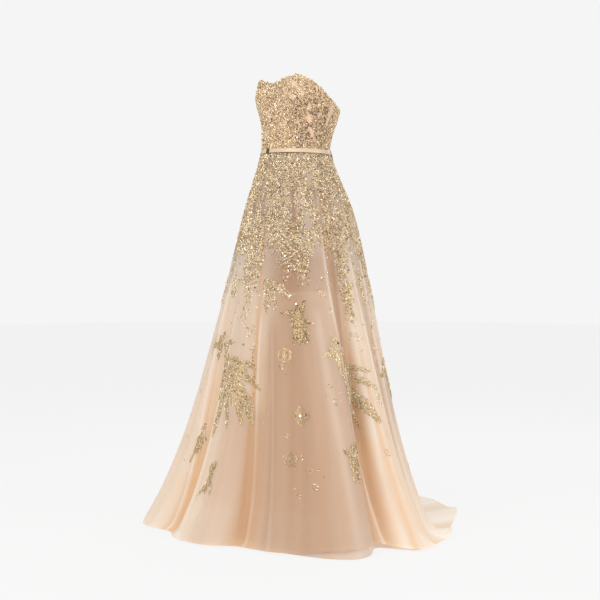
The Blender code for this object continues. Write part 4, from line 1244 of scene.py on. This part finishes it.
def grow(name, data, tree, settings):
    """Plain mesh that a tree makes of a base mesh."""
    base = bpy.data.objects.new(name + " base", data)
    bpy.context.scene.collection.objects.link(base)
    modifier = base.modifiers.new("tree", "NODES")
    modifier.node_group = tree
    for item in tree.interface.items_tree:
        if item.in_out == "INPUT" and item.name in settings:
            modifier[item.identifier] = settings[item.name]
    base.update_tag()
    evaluated = base.evaluated_get(bpy.context.evaluated_depsgraph_get())
    made = bpy.data.meshes.new_from_object(evaluated)
    made.name = name
    bpy.data.objects.remove(base, do_unlink=True)
    return made


def add_beads(name, base, kit, kind, slot, index=0):
    """Piece of beads strewn over a base mesh."""
    tree, beads, finish = kit
    labels = [label for label, socket_kind in BEADING_INPUTS]
    settings = dict(zip(labels, (*BEADING[kind], beads, finish)))
    settings["Seed"] += index
    add_piece(name, grow(name, base, tree, settings), finish, slot)


# Embroidery


def uneven(azimuth, height, scale, turn):
    """Smooth unevenness between -1 and 1 with patches of about the given size in metres."""
    radius = 0.2
    across = np.radians(azimuth) * radius / scale
    down = height / scale
    first = np.sin(2.1 * across + 1.7 * np.sin(1.3 * down + turn) + turn)
    second = np.sin(2.7 * down + 1.9 * np.sin(1.1 * across - turn) + 2.0 * turn)
    third = np.sin(1.7 * (across + down) + 1.1 * np.sin(2.3 * (across - down)))
    return (first + second + third) / 3.0


def soft_gap(azimuth, height, at, place, half_width, half_height, lean=0.0):
    across = turned(azimuth - at - lean * (height - place)) / half_width
    along = (height - place) / half_height
    return ease(1.6 - 1.4 * np.sqrt(across ** 2 + along ** 2))


def skirt_cover(azimuth, depth):
    """How densely the skirt is beaded: 1 in the dense band, 0 on bare net."""
    edge = table_values(BAND_EDGE, azimuth)[..., 0]
    ragged = 0.012 * uneven(azimuth, depth, 0.012, 0.4)
    inside = np.clip((edge + ragged - depth) / 0.022, -2.0, 1.7)
    lace = uneven(azimuth, depth, 0.0045, 1.1)
    cover = ease(0.5 + 0.55 * inside + 0.9 * lace)
    for at, place, half_width, half_height in BAND_GAPS:
        cover = cover * (1.0 - soft_gap(azimuth, depth, at, place, half_width, half_height))
    return cover


def bodice_cover(azimuth, height):
    lace = uneven(azimuth, height, 0.0040, 2.3)
    cover = ease(1.75 + 1.5 * lace)
    for at, place, half_width, half_height, lean in BODICE_GAPS:
        gap = soft_gap(azimuth, height, at, place, half_width, half_height, lean)
        cover = cover * (1.0 - gap)
    return cover


def grain_on(points, turn):
    """Directions on a grid that swing with a turn in radians from straight down."""
    down = unit(np.gradient(points, axis=0))
    across = unit(np.gradient(points, axis=1))
    return down * np.cos(turn)[..., None] + across * np.sin(turn)[..., None]


def bead_net_mesh(name, azimuth, depth, points, cover, shade, first, last):
    """Part of a closed grid, from one column to another, with what its beads need."""
    picked = np.arange(first, last + 1) % points.shape[1]
    swing = 1.3 * uneven(azimuth, depth, 0.02, 0.9)
    grain = grain_on(points, swing)
    values = {
        "cover": cover[:, picked].reshape(-1),
        "shade": shade[:, picked].reshape(-1),
        "grain": grain[:, picked].reshape(-1, 3),
    }
    part = points[:, picked]
    quads = grid_quads(part.shape[0], part.shape[1], False)
    return sheet_mesh(name, part.reshape(-1, 3), quads, None, values)


def net_place(azimuth, depth, across, upward):
    """Azimuth and distance down the net of a place on a motif."""
    along = depth - upward
    sizes = table_values(SKIRT_RINGS, np.minimum(along, FLOOR_DEPTH))
    return azimuth + np.degrees(across / ring_run(sizes, azimuth + 0.0 * along)), along


def net_normals(azimuth, along):
    step = 0.4
    reach = 0.003
    across = skirt_points(azimuth + step, along) - skirt_points(azimuth - step, along)
    down = skirt_points(azimuth, along + reach) - skirt_points(azimuth, along - reach)
    return unit(np.cross(down, across))


def bodice_normals(azimuth, height):
    step = 0.5
    reach = 0.002
    across = bodice_points(azimuth + step, height) - bodice_points(azimuth - step, height)
    down = bodice_points(azimuth, height - reach) - bodice_points(azimuth, height + reach)
    return unit(np.cross(down, across))


def raised_patch(azimuth, along, lift):
    """Small grid above the net: its points and the way it grows."""
    points = skirt_points(azimuth, along) + net_normals(azimuth, along) * lift
    return points, unit(np.gradient(points, axis=0))


def blade_patch(azimuth, depth, blade, size=1.0, side_sign=1.0, steps=13, strands=5):
    """Crowned leaf on the net."""
    start_across, start_down, turn, length, width, bow = blade
    share = np.linspace(0.0, 1.0, steps)[:, None]
    side = np.linspace(-1.0, 1.0, strands)[None, :]
    half = 0.5 * width * np.sin(pi * (0.10 + 0.86 * share)) ** 0.75
    angle = radians(turn)
    reach = length * share
    bend = bow * length * np.sin(pi * share) + side * half * side_sign
    across = start_across + reach * sin(angle) + bend * cos(angle)
    upward = -start_down - reach * cos(angle) + bend * sin(angle)
    at, along = net_place(azimuth, depth, across * size * side_sign, upward * size)
    crown = 0.0022 + 0.0016 * (1.0 - side ** 2) * np.sin(pi * (0.1 + 0.8 * share))
    return raised_patch(at, along, crown[..., None])


def join_patches(name, patches, shade=0.0):
    """One base mesh of many small grids."""
    points, quads, grains = [], [], []
    count = 0
    for patch, grain in patches:
        rows, columns = patch.shape[:2]
        quads.append(grid_quads(rows, columns, False) + count)
        points.append(patch.reshape(-1, 3))
        grains.append(grain.reshape(-1, 3))
        count += rows * columns
    points = np.concatenate(points)
    values = {
        "cover": np.ones(len(points)),
        "shade": np.full(len(points), shade),
        "grain": np.concatenate(grains),
    }
    return sheet_mesh(name, points, np.concatenate(quads), points[:, [0, 2]], values)


def spray_patches(azimuth, depth, shape, size, mirrored):
    side_sign = -1.0 if mirrored else 1.0
    return [blade_patch(azimuth, depth, blade, size, side_sign) for blade in shape]


def floret_patches(azimuth, depth, radius, petals):
    """Petals that are rings of beads round a small middle ring."""
    patches = [ring_patch(azimuth, depth, 0.24 * radius)]
    for petal in range(petals):
        angle = 2.0 * pi * petal / petals
        at, along = net_place(azimuth, depth, 0.62 * radius * sin(angle), 0.62 * radius * cos(angle))
        patches.append(ring_patch(at, along, 0.34 * radius, 0.0036))
        patches.append(ring_patch(at, along, 0.11 * radius, 0.0022))
    return patches


def sprig_patches(azimuth, depth, turn, length, ringlets):
    """A loose cluster of ringlets and single beads that trails down the net."""
    patches = []
    for ringlet in range(2 * ringlets):
        swing = radians(turn) + 0.7 * sin(2.4 * ringlet + azimuth)
        reach = length * (ringlet / (2.0 * ringlets) - 0.3)
        aside = 0.22 * length * sin(4.1 * ringlet + 0.5 * azimuth)
        across = reach * sin(swing) + aside * cos(swing)
        upward = -reach * cos(swing) + aside * sin(swing)
        at, along = net_place(azimuth, depth, across, upward)
        patches.append(ring_patch(at, along, 0.0022 + 0.0012 * (ringlet % 3)))
    return patches


def ring_patch(azimuth, depth, radius, width=0.0028, steps=17):
    angle = np.linspace(0.0, 2.0 * pi, steps)[:, None]
    reach = radius + width * np.array([[-0.5, 0.5]])
    at, along = net_place(azimuth, depth, reach * np.sin(angle), -reach * np.cos(angle))
    return raised_patch(at, along, MOTIF_LIFT)


def string_patch(start_at, start, end_at, end, width=0.0026, steps=30):
    share = np.linspace(0.0, 1.0, steps)[:, None]
    side = 0.5 * width * np.array([[-1.0, 1.0]])
    sway = 0.004 * np.sin(9.0 * share + start_at)
    azimuth = mix(start_at, end_at, share)
    along = mix(start, end, share)
    at, along = net_place(azimuth, along, sway + side, 0.0 * side)
    return raised_patch(at, along, MOTIF_LIFT)


def stone_mesh(points, facing, turn, size):
    """Point cloud of stones: where each sits, faces and turns, and its length."""
    down = unit(np.array([0.0, 0.0, -1.0]) - facing * (-facing[:, 2:3]))
    across = np.cross(down, facing)
    angle = np.radians(turn)[:, None]
    grain = down * np.cos(angle) + across * np.sin(angle)
    data = bpy.data.meshes.new("stones")
    data.from_pydata([tuple(point) for point in points], [], [])
    for key, value in (("facing", facing), ("grain", grain)):
        attribute = data.attributes.new(key, "FLOAT_VECTOR", "POINT")
        attribute.data.foreach_set("vector", value.reshape(-1))
    data.attributes.new("size", "FLOAT", "POINT").data.foreach_set("value", size)
    return data


def skirt_stones(rows):
    azimuth, depth, size, turn = np.array(rows).T
    facing = net_normals(azimuth, depth)
    points = skirt_points(azimuth, depth) + facing * SKIRT_STONE_LIFT
    return stone_mesh(points, facing, turn, size)


def bodice_stones(rows):
    azimuth, height, size, turn = np.array(rows).T
    facing = bodice_normals(azimuth, height)
    points = bodice_points(azimuth, height) + facing * (BODICE_WALL + BODICE_STONE_LIFT)
    return stone_mesh(points, facing, turn, size)


# Pieces of the gown


def panel_columns(columns):
    """First and last column of each panel."""
    spans = {}
    for index, name in enumerate(PANEL_NAMES):
        first = round((SEAM_AZIMUTHS[index] + 180.0) / 360.0 * columns)
        last = round((SEAM_AZIMUTHS[index + 1] + 180.0) / 360.0 * columns)
        spans[name] = (first, last)
    return spans


def net_streaks(azimuth, depth):
    """Faint lengthwise bands where the layers of net lie a little closer."""
    turn = np.radians(azimuth)
    narrow = np.sin(73.0 * turn + 2.0 * np.sin(17.0 * turn) + 1.5 * depth)
    wide = np.sin(29.0 * turn + 1.6 * np.sin(7.0 * turn) - depth)
    return 0.085 * narrow * wide * ease(depth / 0.4)


def net_values(azimuth, depth, sheer_top, sheer_hem):
    """Deeper colour in the hollows of the folds, the creases and the shady places, all painted
    shade, and how closely the net covers.
    """
    # Crease lines: painted shade along the deeper lines; the pale doubled lines cover more closely
    # and carry no shade
    tone = crease_sum(azimuth, depth, [(row[0], row[2], row[3]) for row in CREASES])
    # Painted shade in the hollows of the folds; the colour is also deeper towards the hem, near the
    # waist and in faint lengthwise bands
    hollow = 0.70 * ease(-fold_height(azimuth, depth) / 0.045) + 0.14 * ease(depth)
    hollow = hollow + 0.16 * (1.0 - ease((depth - 0.15) / 0.45)) + net_streaks(azimuth, depth)
    # Painted shade in the shady places, less along the pale crease lines
    shady = crease_sum(azimuth, depth, SHADY_PLACES) - 0.5 * np.maximum(tone, 0.0)
    cover = mix(sheer_top, sheer_hem, ease((depth - 0.12) / 0.75)) + 0.25 * np.abs(tone)
    values = {"hollow": hollow - 0.8 * tone, "shady": shady, "cover": cover}
    return {key: np.clip(value, 0.0, 1.0) for key, value in values.items()}


def make_skirt_net(materials):
    azimuth, along, points, normals = skirt_grid()
    points = points + normals * SKIRT_WALL
    values = net_values(azimuth, np.minimum(along, FLOOR_DEPTH), *NET_COVER)
    hem = ease(1.0 - (meridian_length(azimuth) - along) / HEM_BAND)
    values["cover"] = np.clip(values["cover"] + 0.25 * hem, 0.0, 1.0)
    look = (materials["net"], "skirt_net")
    add_panels("skirt_net_", along, points, values, look, "skirt_", "hung")


def make_under_net(materials):
    down = np.linspace(UNDER_TOP_DROP, FLOOR_DEPTH - UNDER_HEM_CLEARANCE, UNDER_ROWS)
    azimuth, depth = full_grid(UNDER_COLUMNS, down)
    points = under_points(azimuth, depth)
    values = net_values(azimuth, depth, *UNDER_NET_COVER)
    look = (materials["under net"], "under_net")
    add_shell("skirt_under_net", azimuth, depth, points, values, look, "skirt_under_layer", "hung")


def make_slip(materials):
    down = np.linspace(2.0 * UNDER_TOP_DROP, SLIP_LENGTH, SLIP_ROWS)
    azimuth, depth = full_grid(SLIP_COLUMNS, down)
    points = slip_points(azimuth, depth)
    look = (materials["slip"], "slip_cloth")
    add_shell("slip_lining", azimuth, depth, points, {}, look, "slip", "hung", wall=SLIP_CLOTH)


def bodice_grid(columns, rows):
    azimuth = ring_azimuths(columns)[None, :]
    share = np.linspace(1.0, 0.0, rows)[:, None]
    height = neckline(azimuth) * share
    azimuth = azimuth + 0.0 * height
    points = bodice_points(azimuth, height)
    return azimuth, height, points, ring_normals(points)


def make_bodice(materials):
    azimuth, height, points, normals = bodice_grid(BODICE_COLUMNS, BODICE_ROWS)
    points = points + normals * 0.5 * BODICE_WALL
    look = (materials["bodice"], "beaded_net")
    add_panels(
        "bodice_cloth_", -height, points, {}, look, "bodice_", "stretched", wall=BODICE_CLOTH
    )


def belt_points(azimuth, height):
    """Middle of the belt's cloth at heights above its own middle, and its outward directions."""
    level = height - BELT_DROP - BELT_LEAN * np.sin(np.radians(azimuth))
    up = np.where(level >= 0.0, 1.0, 0.0)[..., None]
    above = table_values(BODICE_RINGS, np.abs(level))
    below = table_values(SKIRT_RINGS, np.abs(level))
    points, outward = ring_parts(above * up + below * (1.0 - up), azimuth)
    points = points + outward * (BODICE_WALL + BELT_CLEARANCE + 0.5 * BELT_WALL)
    points[..., 2] = level
    return points, outward


def make_belt(materials):
    """Satin band, softly rounded across."""
    azimuth, height = full_grid(BELT_COLUMNS, np.linspace(0.5, -0.5, BELT_ROWS) * BELT_HEIGHT)
    points, outward = belt_points(azimuth, height)
    crown = BELT_CROWN * (1.0 - (2.0 * height / BELT_HEIGHT) ** 2)
    points = points + outward * crown[..., None]
    look = (materials["satin"], "belt_satin")
    rests_on = "bodice_cloth_centre_front"
    add_shell(
        "belt_satin", azimuth, -height, points, {}, look, "belt", "stretched", rests_on, BELT_CLOTH
    )


def make_piping(materials):
    """Fine dark piping along the lower edge of the belt, whose dark colour also paints the belt's
    shadow line.
    """
    azimuth, angle = full_grid(BELT_COLUMNS, np.linspace(0.0, 2.0 * pi, PIPING_SIDES + 1)[:-1])
    edge, outward = belt_points(azimuth, 0.0 * angle - 0.5 * BELT_HEIGHT - PIPING_DROP)
    edge = edge + outward * (PIPING_RADIUS * np.cos(angle) + PIPING_PROUD)[..., None]
    edge[..., 2] = edge[..., 2] + PIPING_RADIUS * np.sin(angle)
    ring = np.concatenate([edge, edge[:1]], axis=0)[::-1]
    quads = grid_quads(PIPING_SIDES + 1, BELT_COLUMNS, True)
    data = sheet_mesh("belt_piping", ring.reshape(-1, 3), quads)
    add_piece(data.name, data, materials["piping"], "belt_satin")


def make_bodice_beads(kit):
    azimuth, height, points, normals = bodice_grid(BEAD_NET_COLUMNS, BODICE_BEAD_ROWS)
    points = points + normals * (BODICE_WALL + BODICE_BEAD_LIFT)
    cover = bodice_cover(azimuth, height)
    # Painted shade on the side of the bodice, and all beads a little deeper
    shade = BODICE_SHADE * soft_gap(azimuth, height, *BODICE_SHADE_PLACE) + BEAD_SHADE
    half = BEAD_NET_COLUMNS // 2
    for index, side in enumerate(("right", "left")):
        span = (index * half, (index + 1) * half)
        base = bead_net_mesh("bodice beads", azimuth, -height, points, cover, shade, *span)
        add_beads("bodice_beads_" + side, base, kit, "bodice", "beaded_net", index)


def make_skirt_beads(kit):
    down = np.linspace(BEAD_NET_TOP, BEAD_NET_DEPTH, BEAD_NET_ROWS)
    azimuth, depth = full_grid(BEAD_NET_COLUMNS, down)
    points = skirt_points(azimuth, depth)
    points = points + ring_normals(points) * (SKIRT_WALL + SKIRT_BEAD_LIFT)
    cover = skirt_cover(azimuth, depth)
    shade = SKIRT_BEAD_UNEVENNESS * uneven(azimuth, depth, 0.05, 0.2) + BEAD_SHADE
    quarter = BEAD_NET_COLUMNS // 4
    for index, side in enumerate(("back_right", "front_right", "front_left", "back_left")):
        span = (index * quarter, (index + 1) * quarter)
        base = bead_net_mesh("skirt beads", azimuth, depth, points, cover, shade, *span)
        add_beads("skirt_beads_" + side, base, kit, "skirt", "bead_applique", index)


def make_sprays(materials, kit):
    motifs = {name: spray_patches(*row) for name, row in SPRAYS.items()}
    motifs.update({name: floret_patches(*row) for name, row in FLORETS.items()})
    for index, (name, patches) in enumerate(motifs.items()):
        base = join_patches(name + "_thread", patches, MOTIF_SHADES.get(name, 0.0))
        add_piece(base.name, base, materials["thread"], "bead_applique", [name])
        add_beads(name + "_beads", base, kit, "sprays", "bead_applique", index)


def make_small_motifs(kit):
    patches = []
    for row in UPPER_SPRAYS:
        patches += spray_patches(*row)
    for row in SPRIGS:
        patches += sprig_patches(*row)
    patches += [ring_patch(*row) for row in RINGS]
    patches += [ring_patch(azimuth, depth, DOT_RADIUS) for azimuth, depth in DOTS]
    patches += [string_patch(*row) for row in STRINGS]
    base = join_patches("small motifs", patches)
    add_beads("small_motif_beads", base, kit, "small motifs", "bead_applique")


def make_stones(materials):
    tree = make_stone_tree()
    stones = collect("stones", [make_stone])
    sets = {
        "skirt_crystals": (skirt_stones(SKIRT_STONES), "crystal"),
        "skirt_dark_stones": (skirt_stones(DARK_STONES), "smoky stone"),
        "bodice_crystals": (bodice_stones(BODICE_STONES), "crystal"),
        "bodice_dark_stones": (bodice_stones(BODICE_DARK_STONES), "smoky stone"),
    }
    for name, (base, finish) in sets.items():
        data = grow(name, base, tree, {"Stones": stones, "Finish": materials[finish]})
        add_piece(name, data, materials[finish], "bead_applique")
    clear_collection(stones)


def clear_collection(collection):
    for shape in list(collection.objects):
        bpy.data.objects.remove(shape, do_unlink=True)
    bpy.data.collections.remove(collection)


def make_neckline_edge(kit):
    """Petals of beads along the top edge, which stand a little above it."""
    patches = []
    for azimuth in np.arange(-180.0, 180.0, NECKLINE_PETAL_STEP):
        turn = np.linspace(0.0, 2.0 * pi, 9)[:, None]
        reach = np.array([NECKLINE_PETAL_REACH])
        at = azimuth + np.degrees(reach * np.sin(turn) / NECKLINE_RADIUS)
        middle = neckline(np.array(azimuth)) - NECKLINE_PETAL_DROP
        height = middle + NECKLINE_PETAL_SQUASH * reach * np.cos(turn)
        lift = bodice_normals(at, height) * (BODICE_WALL + NECKLINE_BEAD_LIFT)
        points = bodice_points(at, height) + lift
        patches.append((points[::-1], unit(np.gradient(points, axis=0))))
    base = join_patches("neckline petals", patches)
    add_beads("neckline_beads", base, kit, "neckline", "beaded_net")


def dress_trim(materials):
    for name in ("belt_clasp", "belt_keeper", "zip_pull"):
        node = frame["nodes"][name]
        node.data.materials.clear()
        node.data.materials.append(materials["metal"])


# Studio


def add_light(name, azimuth, elevation, distance, size, power, colour):
    data = bpy.data.lights.new(name, "AREA")
    data.shape = "RECTANGLE"
    data.size, data.size_y = size
    data.energy = power
    data.color = colour
    light = bpy.data.objects.new(name, data)
    bpy.context.scene.collection.objects.link(light)
    turn, rise = radians(azimuth), radians(elevation)
    away = Vector((sin(turn) * cos(rise), -cos(turn) * cos(rise), sin(rise)))
    light.location = LIGHT_AIM + away * distance
    light.rotation_euler = away.to_track_quat("Z", "Y").to_euler()


def make_studio():
    """Soft light all round, and a pale backdrop that only the camera sees."""
    scene = bpy.context.scene
    scene.view_settings.view_transform = "Standard"
    scene.world = bpy.data.worlds.new("studio")
    scene.world.use_nodes = True
    tree = scene.world.node_tree
    glow = set_inputs(tree.nodes["Background"], Color=STUDIO_GLOW, Strength=STUDIO_STRENGTH)
    seen = set_inputs(add_node(tree, "ShaderNodeBackground"), Color=BACKDROP)
    path = add_node(tree, "ShaderNodeLightPath")
    shaders = [node.outputs["Background"] for node in (glow, seen)]
    surface = mix_shaders(tree, path.outputs["Is Camera Ray"], *shaders)
    set_inputs(tree.nodes["World Output"], Surface=surface)
    for row in LIGHTS:
        add_light(*row)


def make_floor():
    material, tree, shader = new_material("pale floor")
    set_inputs(shader, Base_Color=FLOOR_COLOUR, Roughness=0.9, Specular_IOR_Level=0.0)
    set_inputs(shader, Emission_Color=BACKDROP, Emission_Strength=FLOOR_GLOW)
    size = FLOOR_HALF_SIZE
    corners = np.array([(-size, -size), (size, -size), (size, size), (-size, size)])
    level = np.full((4, 1), CAD_BOX[0].z - FLOOR_GAP)
    data = sheet_mesh("floor", np.concatenate([corners, level], axis=1), np.array([[0, 1, 2, 3]]))
    data.materials.append(material)
    floor = bpy.data.objects.new("floor", data)
    bpy.context.scene.collection.objects.link(floor)


def make_camera():
    data = bpy.data.cameras.new("camera")
    data.lens = CAMERA_LENS
    data.sensor_width = CAMERA_SENSOR
    camera = bpy.data.objects.new("camera", data)
    turn = radians(CAMERA_TURN)
    away = Vector((sin(turn), -cos(turn), 0.0)) * CAMERA_DISTANCE
    side = Vector((cos(turn), sin(turn), 0.0)) * CAMERA_SIDE_STEP
    camera.location = away + side + Vector((0.0, 0.0, CAMERA_HEIGHT))
    camera.rotation_euler = (radians(90.0), 0.0, turn)
    bpy.context.scene.collection.objects.link(camera)
    bpy.context.scene.camera = camera


def make_materials():
    threads = make_weave_group()
    materials = {name: make_net(threads, *row) for name, row in NET_COLOURS.items()}
    materials.update({name: make_cloth(threads, *row) for name, row in CLOTHS.items()})
    materials["thread"] = make_bead_work()
    materials["beads"] = make_beads()
    materials.update({name: make_crystal(name, *row) for name, row in CRYSTALS.items()})
    materials["metal"] = make_metal()
    return materials


def make_bead_pieces(materials):
    makers = [make_sequin, make_sequin, make_seed_bead, make_seed_bead, make_bugle_bead]
    beads = collect("beads", makers)
    kit = (make_bead_tree(), beads, materials["beads"])
    make_bodice_beads(kit)
    make_neckline_edge(kit)
    make_skirt_beads(kit)
    make_sprays(materials, kit)
    make_small_motifs(kit)
    clear_collection(beads)


def main():
    make_camera()
    make_studio()
    make_floor()
    materials = make_materials()
    make_skirt_net(materials)
    make_under_net(materials)
    make_slip(materials)
    make_bodice(materials)
    make_belt(materials)
    make_piping(materials)
    dress_trim(materials)
    make_bead_pieces(materials)
    make_stones(materials)


main()
